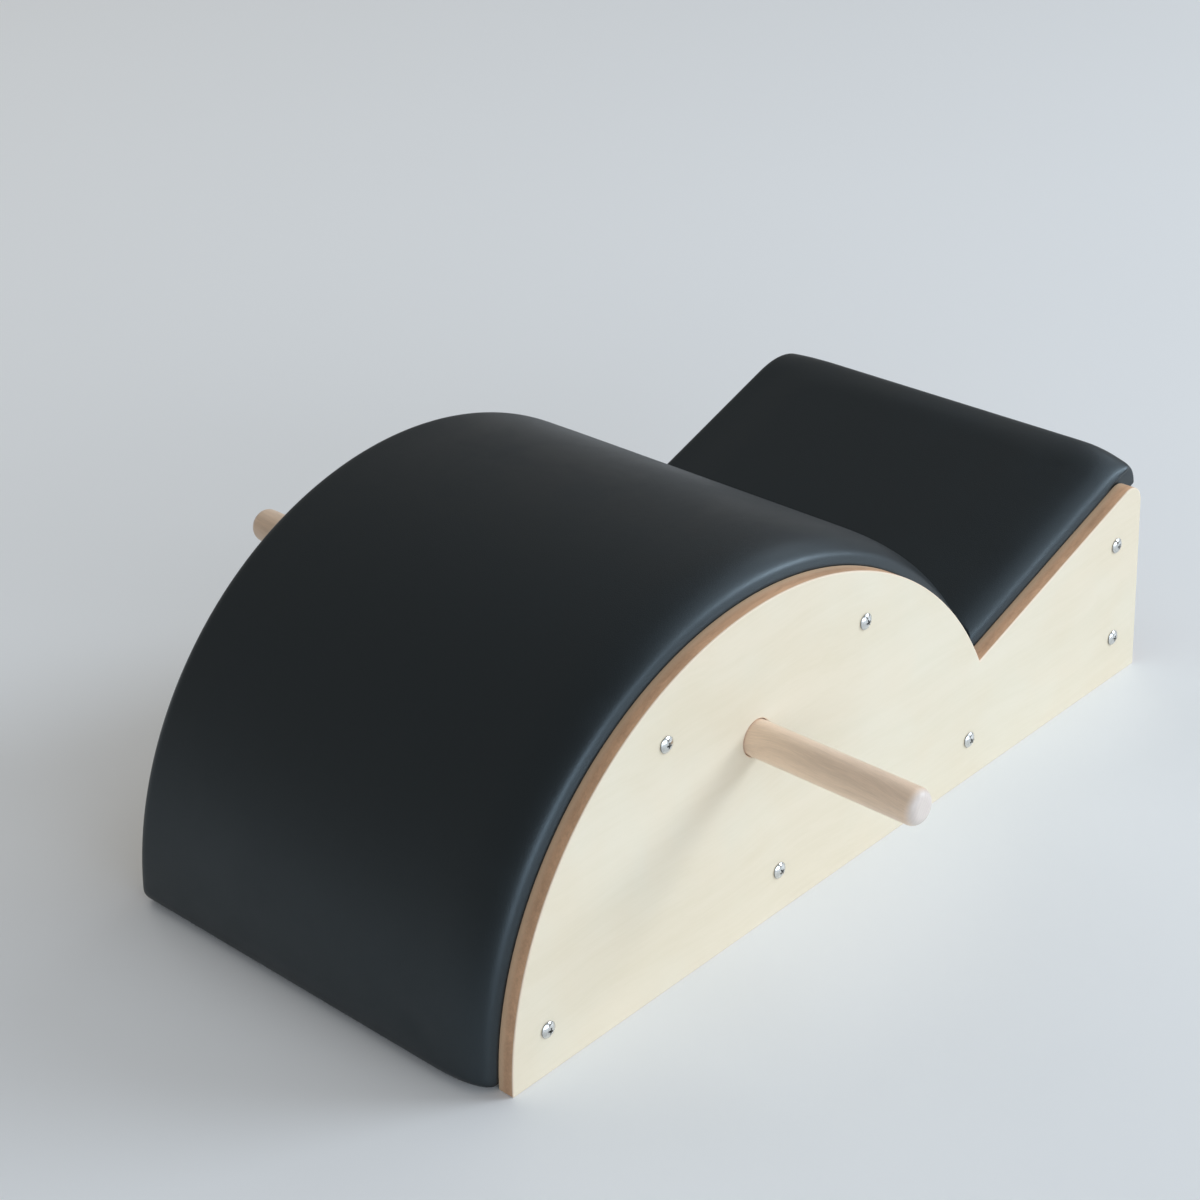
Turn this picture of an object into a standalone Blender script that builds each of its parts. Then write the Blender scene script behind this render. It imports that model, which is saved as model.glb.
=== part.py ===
# Spine corrector: a padded half-round barrel with a padded sloping step behind it, between two side panels.
# Lengths are in metres and +Z is up. X runs along the object, from the barrel's front to the step's rear,
# and Y runs across it. The origin is on the floor, under the middle of the object.
import math

import bmesh
import bpy
from mathutils import Matrix, Vector

# Side panels
OVERALL_WIDTH = 0.493
PANEL_THICKNESS = 0.018
BARREL_RADIUS = 0.3423  # the curved edge of a side panel
BARREL_AXIS_DROP = 0.0115  # how far the barrel's axis lies below the floor
NOTCH_HEIGHT = 0.1275  # where the curved edge meets the sloping edge
STEP_SLOPE_DEG = 19.0
REAR_REACH = 0.587  # from the barrel's axis back to the panels' rear edge
PANEL_CORNER_RADIUS = 0.020  # the top rear corner
PANEL_ARRIS = 0.0008  # the small chamfer round each panel

# Decks that carry the padding
DECK_THICKNESS = 0.009
FOAM_SEAT = 0.015  # how far a deck's top lies below the panels' edge

# Padding
PAD_PROUD = 0.025  # how far the padding stands above the panels' edge
PAD_FLOOR_GAP = 0.003
PAD_SIDE_GAP = 0.001
COVER_THICKNESS = 0.0012
SHOULDER_RADIUS = 0.010  # the rounding along both sides of a pad
EDGE_FALL = 0.0015  # how much lower a pad's top lies at its shoulders than in its middle
EDGE_FALL_WIDTH = 0.050
NOSE_RADIUS = 0.012  # the barrel pad's lower front end
CREASE_RADIUS = 0.009  # both pads' ends where they meet
CREASE_GAP = 0.0006
REAR_CORNER_RADIUS = 0.030  # the step pad's top rear corner
REAR_PROUD = 0.0155  # how far the step pad stands out behind the panels
NOSE_DRAW = 0.15  # share of a shoulder's drop by which the front end draws in at its sides
END_DRAW = 0.5  # the same for the crease and the rear face

# Battens that join the side panels
BATTEN_WIDE = 0.045
BATTEN_NARROW = 0.030
BATTEN_HEIGHT = 0.0455  # the lower row's centres above the floor
BARREL_BATTEN_SPREAD = 0.135  # from the barrel's axis to each upper batten, along X
MIDDLE_BATTEN_OFFSET = 0.007  # the middle batten's centre behind the barrel's axis
REAR_BATTEN_INSET = 0.042  # the two rear battens' centres ahead of the panels' rear edge
REAR_BATTEN_HEIGHT = 0.050
CLEAT_LENGTH = 0.035  # the cleat under the front of the step's deck, along the slope
CLEAT_DROP = 0.022

# Screws
SCREW_DIAMETER = 0.006
SCREW_LENGTH = 0.060  # under the head
SCREW_POINT = 0.006
SCREW_BORE_CLEARANCE = 0.0003
SCREW_TIP_CLEARANCE = 0.002
HEAD_DIAMETER = 0.016
HEAD_RIM = 0.0009
HEAD_DOME = 0.0031
RECESS_SPAN = 0.0078
RECESS_SLOT = 0.0016
RECESS_DEPTH = 0.0024

# Handles and the sockets that hold them
HANDLE_DIAMETER = 0.035
HANDLE_REACH = 0.184  # out of the panel
HANDLE_OFFSET = 0.0186  # the handles' axis ahead of the barrel's axis
HANDLE_HEIGHT = 0.201
HANDLE_END_RADIUS = 0.006
HANDLE_INNER_CHAMFER = 0.002
HANDLE_CLEARANCE = 0.0006
HANDLE_FLOOR_CLEARANCE = 0.0005  # between a seated handle and its socket's floor
SOCKET_DEPTH = 0.042  # of the bore in the block
SOCKET_FLOOR = 0.010
SOCKET_WIDTH = 0.075

# Fits and facets
FIT_GAP = 0.0003
LEAST_RADIUS = 0.0008
PANEL_ARC_STEP = math.radians(3)
PAD_ARC_STEP = math.radians(5)
END_SHARE = 0.35  # the shortest facet at an arc's end, as a share of a step
CORNER_STEPS = 4
SHOULDER_STEPS = 3
HANDLE_SIDES = 40
SCREW_SIDES = 14
CUT_MARGIN = 0.004  # how far a cutter runs past the faces it opens

# Sizes that follow from the ones above. Outlines are points (u, w), measured from the barrel's axis.
SLOPE = Vector((math.cos(math.radians(STEP_SLOPE_DEG)), math.sin(math.radians(STEP_SLOPE_DEG))))
RISE = Vector((-SLOPE.y, SLOPE.x))
UPRIGHT = Vector((0.0, 1.0))
AXIS = Vector((0.0, 0.0))
NOTCH = Vector((
    math.sqrt(BARREL_RADIUS ** 2 - (NOTCH_HEIGHT + BARREL_AXIS_DROP) ** 2),
    NOTCH_HEIGHT + BARREL_AXIS_DROP,
))
DECK_OUTER = BARREL_RADIUS - FOAM_SEAT
DECK_INNER = DECK_OUTER - DECK_THICKNESS
PAD_RADIUS = BARREL_RADIUS + PAD_PROUD
INNER_HALF = OVERALL_WIDTH / 2 - PANEL_THICKNESS
PAD_HALF = INNER_HALF - PAD_SIDE_GAP
CORE_LAYER = COVER_THICKNESS + FIT_GAP  # from a cover's outside to the foam in it
DECK_FLOOR_GAP = PAD_FLOOR_GAP + CORE_LAYER + NOSE_DRAW * (SHOULDER_RADIUS + EDGE_FALL)
REAR_FACE = REAR_REACH + REAR_PROUD
HANDLE_INSERT = PANEL_THICKNESS + FIT_GAP + SOCKET_DEPTH - HANDLE_FLOOR_CLEARANCE


def line_meets_line(a, along_a, b, along_b):
    """The point where two straight lines cross."""
    t = (b - a).cross(along_b) / along_a.cross(along_b)
    return a + along_a * t


def line_meets_circle(point, along, radius):
    """The further crossing of a straight line and a circle round the barrel's axis."""
    half = point.dot(along)
    return point + along * (math.sqrt(half ** 2 - point.length_squared + radius ** 2) - half)


def circle_at_height(radius, height):
    """The half width of a circle round the barrel's axis at a height above that axis."""
    return math.sqrt(radius ** 2 - height ** 2)


def angle_of(point):
    return math.atan2(point.y, point.x)


def arc(centre, radius, start, end, steps):
    """Points along an arc, both ends included."""
    angles = [start + (end - start) * i / steps for i in range(steps + 1)]
    return [centre + Vector((math.cos(a), math.sin(a))) * radius for a in angles]


def corner_arc(before, corner, after, radius, steps):
    """The arc that rounds the corner between two straight edges."""
    back = (before - corner).normalized()
    ahead = (after - corner).normalized()
    half = back.angle(ahead) / 2
    centre = corner + (back + ahead).normalized() * (radius / math.sin(half))
    start = angle_of(corner + back * (radius / math.tan(half)) - centre)
    turn = (math.pi - 2 * half) * (1 if back.cross(ahead) < 0 else -1)
    return arc(centre, radius, start, start + turn, steps)


def whole_steps(start, end, step):
    """The whole multiples of a step of angle that lie well between two angles."""
    low = min(start, end) + END_SHARE * step
    high = max(start, end) - END_SHARE * step
    angles = [i * step for i in range(math.ceil(low / step), math.floor(high / step) + 1)]
    return angles if start < end else angles[::-1]


def barrel_arc(radius, start, end, step):
    """Points round the barrel's axis at whole steps of angle, and at both ends."""
    angles = [start, *whole_steps(start, end, step), end]
    return [Vector((math.cos(a), math.sin(a))) * radius for a in angles]


# The crease is the plane in which the two pads meet. It runs from the panels' notch to the bottom of the valley
# between the pads' tops.
VALLEY = line_meets_circle(NOTCH + RISE * PAD_PROUD, SLOPE, PAD_RADIUS)
CREASE_UP = (VALLEY - NOTCH).normalized()
CREASE_SIDE = Vector((-CREASE_UP.y, CREASE_UP.x))


def nose_centre(outer, low, radius):
    """The centre of the rounding between the barrel pad's top and its lower front end."""
    height = low + radius
    return Vector((-circle_at_height(outer - radius, height), height))


# The angles round the barrel's axis at which its pad ends, outside and against the deck
NOSE_ANGLE = angle_of(nose_centre(PAD_RADIUS, BARREL_AXIS_DROP + PAD_FLOOR_GAP, NOSE_RADIUS))
TOE_ANGLE = math.pi - math.asin((BARREL_AXIS_DROP + DECK_FLOOR_GAP) / DECK_OUTER)
FOOT_ANGLE = angle_of(line_meets_circle(NOTCH, CREASE_UP, DECK_OUTER))
OVER_PAD_STEPS = round((NOSE_ANGLE - angle_of(VALLEY)) / PAD_ARC_STEP)
FRONT_FACE = PAD_RADIUS * math.cos(NOSE_ANGLE)
BARREL_X = -(FRONT_FACE + REAR_FACE) / 2


def place(point, y):
    """An outline's point at a distance across, in the object's frame."""
    return Vector((BARREL_X + point.x, y, point.y - BARREL_AXIS_DROP))


# Outlines


def panel_outline():
    base = BARREL_AXIS_DROP
    front = math.pi - math.asin(base / BARREL_RADIUS)
    rear_foot = Vector((REAR_REACH, base))
    corner = line_meets_line(NOTCH, SLOPE, rear_foot, UPRIGHT)
    points = barrel_arc(BARREL_RADIUS, front, angle_of(NOTCH), PANEL_ARC_STEP)
    points += corner_arc(NOTCH, corner, rear_foot, PANEL_CORNER_RADIUS, CORNER_STEPS)
    return [*points, rear_foot]


def barrel_pad_path(layer, drop):
    """The barrel pad's outside, from the bottom of its front end, over the top, to where the crease begins.
    A layer is a depth below the cover's outside all round, and a drop lowers the top at the shoulders."""
    outer = PAD_RADIUS - layer - drop
    low = BARREL_AXIS_DROP + PAD_FLOOR_GAP + layer + NOSE_DRAW * drop
    nose = max(NOSE_RADIUS - layer - drop, LEAST_RADIUS)
    front = nose_centre(outer, low, nose)
    lip = max(CREASE_RADIUS - layer - drop, LEAST_RADIUS)
    beside = NOTCH + CREASE_SIDE * (CREASE_GAP / 2 + layer + END_DRAW * drop + lip)
    back = line_meets_circle(beside, CREASE_UP, outer - lip)
    points = arc(front, nose, 1.5 * math.pi, angle_of(front), CORNER_STEPS)
    points += arc(AXIS, outer, angle_of(front), angle_of(back), OVER_PAD_STEPS)[1:-1]
    points += arc(back, lip, angle_of(back), angle_of(-CREASE_SIDE), CORNER_STEPS)
    return points


def under_barrel_pad(radius, foot, toe):
    """The pad's inside from its foot at the crease to its toe at the front, in step with the deck's facets."""
    angles = whole_steps(FOOT_ANGLE, TOE_ANGLE, PAD_ARC_STEP)
    return [foot, *[Vector((math.cos(a), math.sin(a))) * radius for a in angles], toe]


def barrel_pad_outline(layer, drop, core):
    """The closed outline of the barrel pad down to a circle of radius core."""
    low = BARREL_AXIS_DROP + PAD_FLOOR_GAP + layer + NOSE_DRAW * drop
    beside = NOTCH + CREASE_SIDE * (CREASE_GAP / 2 + layer + END_DRAW * drop)
    foot = line_meets_circle(beside, CREASE_UP, core)
    toe = Vector((-circle_at_height(core, low), low))
    return barrel_pad_path(layer, drop) + under_barrel_pad(core, foot, toe)


def barrel_cutter_outline(layer, drop):
    """What is cut out of the barrel's cover: the foam's space and the deck's way in at the crease and below."""
    outline = barrel_pad_path(layer, drop)
    over_deck = DECK_OUTER + FIT_GAP
    beside = NOTCH + CREASE_SIDE * (CREASE_GAP / 2 + layer + END_DRAW * drop)
    outside = NOTCH - CREASE_SIDE * CUT_MARGIN
    opened = DECK_INNER - CUT_MARGIN
    low = BARREL_AXIS_DROP + PAD_FLOOR_GAP + layer + NOSE_DRAW * drop
    exit_foot = line_meets_circle(outside, CREASE_UP, opened)
    toe = Vector((-circle_at_height(opened, low), low))
    outline.append(line_meets_circle(beside, CREASE_UP, over_deck))
    outline.append(line_meets_circle(outside, CREASE_UP, over_deck))
    return outline + under_barrel_pad(opened, exit_foot, toe)


def step_front(layer, level):
    """The foremost point of the step's padding, or its deck, at a level above the panels' sloping edge."""
    start = NOTCH + RISE * level
    beside = NOTCH - CREASE_SIDE * (CREASE_GAP / 2 + layer)
    at_crease = line_meets_line(start, SLOPE, beside, CREASE_UP)
    at_barrel = line_meets_circle(start, SLOPE, DECK_OUTER + FIT_GAP + layer)
    return max(at_crease, at_barrel, key=lambda point: point.dot(SLOPE))


def step_pad_path(layer, drop):
    """The step pad's outside, from the top of the crease, over the top, down to its rear face."""
    top = NOTCH + RISE * (PAD_PROUD - layer - drop)
    beside = NOTCH - CREASE_SIDE * (CREASE_GAP / 2 + layer + END_DRAW * drop)
    behind = Vector((REAR_FACE - layer - END_DRAW * drop, 0.0))
    crest = line_meets_line(top, SLOPE, beside, CREASE_UP)
    corner = line_meets_line(top, SLOPE, behind, UPRIGHT)
    lip = max(CREASE_RADIUS - layer - drop, LEAST_RADIUS)
    rear = max(REAR_CORNER_RADIUS - layer - drop, LEAST_RADIUS)
    points = corner_arc(beside, crest, corner, lip, CORNER_STEPS)
    points += corner_arc(crest, corner, Vector((corner.x, 0.0)), rear, 2 * CORNER_STEPS)
    return points


def step_heel(layer, drop, level):
    """The point of the step pad's rear face at a level above the panels' sloping edge."""
    behind = Vector((REAR_FACE - layer - END_DRAW * drop, 0.0))
    return line_meets_line(NOTCH + RISE * level, SLOPE, behind, UPRIGHT)


def step_pad_outline(layer, drop):
    """The closed outline of the step pad down to the underside of its deck."""
    under = -FOAM_SEAT - DECK_THICKNESS
    front = [step_front(layer, under), step_front(layer, -FOAM_SEAT)]
    return [*front, *step_pad_path(layer, drop), step_heel(layer, drop, under)]


def step_cutter_outline(layer, drop):
    """What is cut out of the step's cover. It runs on below, so that the cover is open there."""
    outline = step_pad_outline(layer, drop)
    return [outline[0] - RISE * CUT_MARGIN, *outline, outline[-1] - UPRIGHT * CUT_MARGIN]


def step_foam_outline(layer, drop):
    """The step's foam lies on the deck and wraps down over the deck's rear end."""
    seat = FIT_GAP - FOAM_SEAT
    behind_deck = Vector((REAR_REACH + FIT_GAP, 0.0))
    under = -FOAM_SEAT - DECK_THICKNESS
    lip_bottom = line_meets_line(NOTCH + RISE * under, SLOPE, behind_deck, UPRIGHT)
    lip_top = line_meets_line(NOTCH + RISE * seat, SLOPE, behind_deck, UPRIGHT)
    front = step_front(layer, seat)
    return [front, *step_pad_path(layer, drop), step_heel(layer, drop, under), lip_bottom, lip_top]


def barrel_deck_outline():
    low = BARREL_AXIS_DROP + DECK_FLOOR_GAP
    outside_front = math.pi - math.asin(low / DECK_OUTER)
    inside_front = math.pi - math.asin(low / DECK_INNER)
    outside = barrel_arc(DECK_OUTER, outside_front, math.pi - outside_front, PAD_ARC_STEP)
    return outside + barrel_arc(DECK_INNER, math.pi - inside_front, inside_front, PAD_ARC_STEP)


def step_deck_outline():
    under = -FOAM_SEAT - DECK_THICKNESS
    rear = Vector((REAR_REACH, 0.0))
    return [
        step_front(CORE_LAYER, under),
        step_front(CORE_LAYER, -FOAM_SEAT),
        line_meets_line(NOTCH - RISE * FOAM_SEAT, SLOPE, rear, UPRIGHT),
        line_meets_line(NOTCH + RISE * under, SLOPE, rear, UPRIGHT),
    ]


def cleat_outline():
    """The cleat fills the corner between the barrel's deck and the underside of the step's deck."""
    under = -FOAM_SEAT - DECK_THICKNESS - FIT_GAP
    beside = DECK_OUTER + FIT_GAP
    top = line_meets_circle(NOTCH + RISE * under, SLOPE, beside)
    bottom = line_meets_circle(NOTCH + RISE * (under - CLEAT_DROP), SLOPE, beside)
    face = arc(AXIS, beside, angle_of(bottom), angle_of(top), CORNER_STEPS)
    tip = top + SLOPE * CLEAT_LENGTH
    return [*face, tip, tip - RISE * CLEAT_DROP]


# Battens: each is a name, its centre, and its outline


def batten_outline(centre, towards, depth, width):
    """A rectangle of a depth along towards and a width across it."""
    across = Vector((-towards.y, towards.x))
    corners = [(-1, -1), (-1, 1), (1, 1), (1, -1)]
    return [centre + towards * (depth / 2 * a) + across * (width / 2 * b) for a, b in corners]


def under_barrel_deck(depth, width):
    """How far from the barrel's axis a batten's centre lies when its face rests under the deck."""
    reach = DECK_INNER * math.cos(PAD_ARC_STEP / 2) - FIT_GAP
    return math.sqrt(reach ** 2 - (width / 2) ** 2) - depth / 2


def batten_places():
    foot_reach = under_barrel_deck(BATTEN_NARROW, BATTEN_WIDE)
    top_reach = under_barrel_deck(BATTEN_WIDE, BATTEN_NARROW)
    low = BATTEN_HEIGHT + BARREL_AXIS_DROP
    foot = circle_at_height(foot_reach, low)
    rise = circle_at_height(top_reach, BARREL_BATTEN_SPREAD)
    rear = REAR_REACH - REAR_BATTEN_INSET
    under_step = -FOAM_SEAT - DECK_THICKNESS - FIT_GAP - BATTEN_WIDE / 2
    step = line_meets_line(NOTCH + RISE * under_step, SLOPE, Vector((rear, 0.0)), UPRIGHT)
    radial = {
        "front_batten": (Vector((-foot, low)), BATTEN_NARROW, BATTEN_WIDE),
        "barrel_front_batten": (Vector((-BARREL_BATTEN_SPREAD, rise)), BATTEN_WIDE, BATTEN_NARROW),
        "barrel_rear_batten": (Vector((BARREL_BATTEN_SPREAD, rise)), BATTEN_WIDE, BATTEN_NARROW),
        "barrel_foot_batten": (Vector((foot, low)), BATTEN_NARROW, BATTEN_WIDE),
    }
    places = {}
    for name, (centre, depth, width) in radial.items():
        places[name] = (centre, batten_outline(centre, centre.normalized(), depth, width))
    upright = {
        "middle_batten": Vector((MIDDLE_BATTEN_OFFSET, low)),
        "rear_batten": Vector((rear, REAR_BATTEN_HEIGHT + BARREL_AXIS_DROP)),
    }
    for name, centre in upright.items():
        places[name] = (centre, batten_outline(centre, UPRIGHT, BATTEN_WIDE, BATTEN_NARROW))
    places["step_batten"] = (step, batten_outline(step, RISE, BATTEN_WIDE, BATTEN_NARROW))
    return places


# Meshes and objects


def new_object(name, mesh, material=None, location=(0, 0, 0)):
    made = bpy.data.objects.new(name, mesh)
    made.location = location
    bpy.context.scene.collection.objects.link(made)
    if material is not None:
        mesh.materials.append(material)
    return made


def finish_mesh(name, shape):
    """Turns every face outwards, merges what is flat, and hands the shape over as a mesh."""
    bmesh.ops.dissolve_limit(
        shape, angle_limit=math.radians(0.02), verts=shape.verts[:], edges=shape.edges[:]
    )
    bmesh.ops.recalc_face_normals(shape, faces=shape.faces[:])
    mesh = bpy.data.meshes.new(name)
    shape.to_mesh(mesh)
    shape.free()
    return mesh


def loft_mesh(name, sections):
    """A closed body through outlines at several distances across, all with as many points.
    Each quad is split the same way, so that bodies a small gap apart keep that gap where they twist."""
    shape = bmesh.new()
    rings = [[shape.verts.new(place(point, y)) for point in outline] for y, outline in sections]
    for ring, following in zip(rings, rings[1:]):
        for i in range(len(ring)):
            after = (i + 1) % len(ring)
            shape.faces.new((ring[i], ring[after], following[after]))
            shape.faces.new((ring[i], following[after], following[i]))
    shape.faces.new(rings[0])
    shape.faces.new(rings[-1])
    return finish_mesh(name, shape)


def prism_mesh(name, outline, y_low, y_high):
    return loft_mesh(name, [(y_low, outline), (y_high, outline)])


def shoulder_stations(layer):
    """Distances in from a pad's side, each with how much the top drops there."""
    radius = SHOULDER_RADIUS - layer
    stations = []
    for i in range(SHOULDER_STEPS + 1):
        turn = math.pi / 2 * i / SHOULDER_STEPS
        stations.append((layer + radius * (1 - math.cos(turn)), radius * (1 - math.sin(turn))))
    stations.append(((SHOULDER_RADIUS + EDGE_FALL_WIDTH) / 2, 0.0))
    stations.append((EDGE_FALL_WIDTH, 0.0))
    return [(y, drop + EDGE_FALL * (1 - y / EDGE_FALL_WIDTH) ** 2) for y, drop in stations]


def pad_mesh(name, layer, outline):
    """A pad's body: outline(drop) gives its section where its top drops by that much."""
    near = [(y - PAD_HALF, outline(drop)) for y, drop in shoulder_stations(layer)]
    far = [(-y, section) for y, section in reversed(near)]
    return loft_mesh(name, near + far)


def turned_mesh(name, profile, sides):
    """Turns a profile of (radius, distance along -Y) round the Y axis, closed at both ends."""
    shape = bmesh.new()
    rings = []
    for radius, along in profile:
        ring = []
        for i in range(sides):
            turn = 2 * math.pi * (i + 0.5) / sides
            ring.append(shape.verts.new((radius * math.cos(turn), -along, radius * math.sin(turn))))
        rings.append(ring)
    for ring, following in zip(rings, rings[1:]):
        for i in range(sides):
            after = (i + 1) % sides
            shape.faces.new((ring[i], ring[after], following[after], following[i]))
    shape.faces.new(rings[0])
    shape.faces.new(rings[-1])
    return finish_mesh(name, shape)


def cut(body, cutter):
    """Takes a guide shape away from a body with a live modifier."""
    cutter.hide_render = True
    cutter.display_type = "WIRE"
    modifier = body.modifiers.new(cutter.name, "BOOLEAN")
    modifier.operation = "DIFFERENCE"
    modifier.solver = "EXACT"
    modifier.object = cutter


def applied(body):
    """The mesh that a body's modifiers make, as a plain mesh."""
    graph = bpy.context.evaluated_depsgraph_get()
    return bpy.data.meshes.new_from_object(body.evaluated_get(graph))


def box_mesh(name, low, high):
    shape = bmesh.new()
    bmesh.ops.create_cube(shape, size=1.0)
    middle = (Vector(low) + Vector(high)) / 2
    size = Vector(high) - Vector(low)
    bmesh.ops.transform(
        shape, matrix=Matrix.Translation(middle) @ Matrix.Diagonal((*size, 1.0)), verts=shape.verts[:]
    )
    return finish_mesh(name, shape)


# Materials


def material(name, color, roughness, metallic=0.0):
    made = bpy.data.materials.new(name)
    made.use_nodes = True
    shader = made.node_tree.nodes["Principled BSDF"]
    shader.inputs["Base Color"].default_value = (*color, 1.0)
    shader.inputs["Roughness"].default_value = roughness
    shader.inputs["Metallic"].default_value = metallic
    return made


def make_materials():
    return {
        "veneer": material("pale_veneer", (0.78, 0.73, 0.60), 0.5),
        "edge": material("brown_edge", (0.33, 0.19, 0.10), 0.6),
        "vinyl": material("black_vinyl", (0.016, 0.018, 0.021), 0.42),
        "foam": material("grey_foam", (0.30, 0.30, 0.31), 0.95),
        "plywood": material("deck_plywood", (0.62, 0.47, 0.30), 0.65),
        "softwood": material("batten_softwood", (0.66, 0.50, 0.31), 0.7),
        "beech": material("turned_beech", (0.60, 0.42, 0.28), 0.45),
        "steel": material("bright_steel", (0.72, 0.72, 0.70), 0.25, 1.0),
    }


# The pieces


def add_bores(side, places):
    """The guide that cuts the screws' bores, and the handle's, on one side. side is -1 or 1."""
    screw_bore = SCREW_DIAMETER / 2 + SCREW_BORE_CLEARANCE
    screw_profile = [(screw_bore, CUT_MARGIN), (screw_bore, -SCREW_LENGTH - SCREW_TIP_CLEARANCE)]
    handle_bore = HANDLE_DIAMETER / 2 + HANDLE_CLEARANCE
    handle_profile = [(handle_bore, CUT_MARGIN), (handle_bore, -PANEL_THICKNESS - FIT_GAP - SOCKET_DEPTH)]
    shape = bmesh.new()
    turn = Matrix.Rotation(0.0 if side < 0 else math.pi, 4, "Z")
    centres = [centre for centre, outline in places.values()]
    jobs = [(screw_profile, SCREW_SIDES, centre) for centre in centres]
    jobs.append((handle_profile, HANDLE_SIDES, handle_centre()))
    for profile, sides, centre in jobs:
        one = turned_mesh("bore", profile, sides)
        one.transform(Matrix.Translation(place(centre, side * OVERALL_WIDTH / 2)) @ turn)
        shape.from_mesh(one)
        bpy.data.meshes.remove(one)
    mesh = bpy.data.meshes.new("bores")
    shape.to_mesh(mesh)
    shape.free()
    return new_object("bores_near" if side < 0 else "bores_far", mesh)


def handle_centre():
    return Vector((-HANDLE_OFFSET, HANDLE_HEIGHT + BARREL_AXIS_DROP))


def add_panel(name, side, bores, looks):
    outer = side * OVERALL_WIDTH / 2
    inner = outer - side * PANEL_THICKNESS
    mesh = prism_mesh(name, panel_outline(), min(outer, inner), max(outer, inner))
    shape = bmesh.new()
    shape.from_mesh(mesh)
    rims = [edge for edge in shape.edges if abs(edge.verts[0].co.y - edge.verts[1].co.y) < 1e-6]
    bmesh.ops.bevel(shape, geom=rims, offset=PANEL_ARRIS, segments=1, affect="EDGES")
    for face in shape.faces:
        face.material_index = 0 if abs(face.normal.y) > 0.5 else 1
    shape.to_mesh(mesh)
    shape.free()
    panel = new_object(name, mesh, looks["veneer"])
    mesh.materials.append(looks["edge"])
    cut(panel, bores)
    return panel


def add_battens(places, bores, looks):
    half = INNER_HALF - FIT_GAP
    for name, (centre, outline) in places.items():
        batten = new_object(name, prism_mesh(name, outline, -half, half), looks["softwood"])
        for guide in bores:
            cut(batten, guide)


def add_decks(looks):
    half = PAD_HALF - CORE_LAYER
    new_object("barrel_deck", prism_mesh("barrel_deck", barrel_deck_outline(), -half, half), looks["plywood"])
    new_object("step_deck", prism_mesh("step_deck", step_deck_outline(), -half, half), looks["plywood"])
    half = INNER_HALF - FIT_GAP
    new_object("step_cleat", prism_mesh("step_cleat", cleat_outline(), -half, half), looks["softwood"])


def add_pads(looks):
    seat = DECK_OUTER + FIT_GAP
    bodies = {
        "barrel_foam": (CORE_LAYER, lambda drop: barrel_pad_outline(CORE_LAYER, drop, seat), "foam"),
        "step_foam": (CORE_LAYER, lambda drop: step_foam_outline(CORE_LAYER, drop), "foam"),
        "barrel_cover": (0.0, lambda drop: barrel_pad_outline(0.0, drop, DECK_INNER), "vinyl"),
        "step_cover": (0.0, lambda drop: step_pad_outline(0.0, drop), "vinyl"),
    }
    guides = {
        "barrel_cover": lambda drop: barrel_cutter_outline(COVER_THICKNESS, drop),
        "step_cover": lambda drop: step_cutter_outline(COVER_THICKNESS, drop),
    }
    for name, (layer, outline, look) in bodies.items():
        pad = new_object(name, pad_mesh(name, layer, outline), looks[look])
        if name in guides:
            inside = new_object(name + "_inside", pad_mesh(name + "_inside", COVER_THICKNESS, guides[name]))
            cut(pad, inside)


def screw_mesh():
    """A domed screw with a cross recess. Its head's underside is at the origin, and it points along +Y."""
    shank = SCREW_DIAMETER / 2
    head = HEAD_DIAMETER / 2
    dome_radius = (head ** 2 + HEAD_DOME ** 2) / (2 * HEAD_DOME)
    profile = [(shank / 4, -SCREW_LENGTH), (shank, SCREW_POINT - SCREW_LENGTH), (shank, 0.0), (head, 0.0)]
    for share in (1.0, 0.86, 0.6, 0.3):
        radius = head * share
        sink = dome_radius - math.sqrt(dome_radius ** 2 - radius ** 2)
        profile.append((radius, HEAD_RIM + HEAD_DOME - sink))
    body = new_object("screw_body", turned_mesh("screw_body", profile, SCREW_SIDES))
    top = -HEAD_RIM - HEAD_DOME
    guides = []
    for name, x, z in (("slot_x", RECESS_SPAN / 2, RECESS_SLOT / 2), ("slot_z", RECESS_SLOT / 2, RECESS_SPAN / 2)):
        slot = box_mesh(name, (-x, top - CUT_MARGIN, -z), (x, top + RECESS_DEPTH, z))
        guides.append(new_object(name, slot))
        cut(body, guides[-1])
    mesh = applied(body)
    mesh.name = "screw"
    for spare in (body, *guides):
        bpy.data.objects.remove(spare)
    return mesh


def add_screws(places, looks):
    """One screw at each end of each batten."""
    screw = screw_mesh()
    screw.materials.append(looks["steel"])
    for side, word in ((-1, "near"), (1, "far")):
        for name, (centre, outline) in places.items():
            spot = name.replace("_batten", "")
            seat = place(centre, side * (OVERALL_WIDTH / 2 + FIT_GAP))
            piece = new_object(f"screw_{spot}_{word}", screw, location=seat)
            piece.rotation_euler.z = 0.0 if side < 0 else math.pi


def handle_mesh():
    """A dowel with a rounded outer end. Its axis is the Y axis, and the panel's face is at the origin."""
    radius = HANDLE_DIAMETER / 2
    profile = [
        (radius - HANDLE_INNER_CHAMFER, -HANDLE_INSERT),
        (radius, HANDLE_INNER_CHAMFER - HANDLE_INSERT),
        (radius, HANDLE_REACH - HANDLE_END_RADIUS),
    ]
    for i in range(1, CORNER_STEPS + 1):
        turn = math.pi / 2 * i / CORNER_STEPS
        profile.append((
            radius - HANDLE_END_RADIUS * (1 - math.cos(turn)),
            HANDLE_REACH - HANDLE_END_RADIUS * (1 - math.sin(turn)),
        ))
    mesh = turned_mesh("handle", profile, HANDLE_SIDES)
    mesh.shade_smooth()
    mesh.set_sharp_from_angle(angle=math.radians(40))
    return mesh


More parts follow.
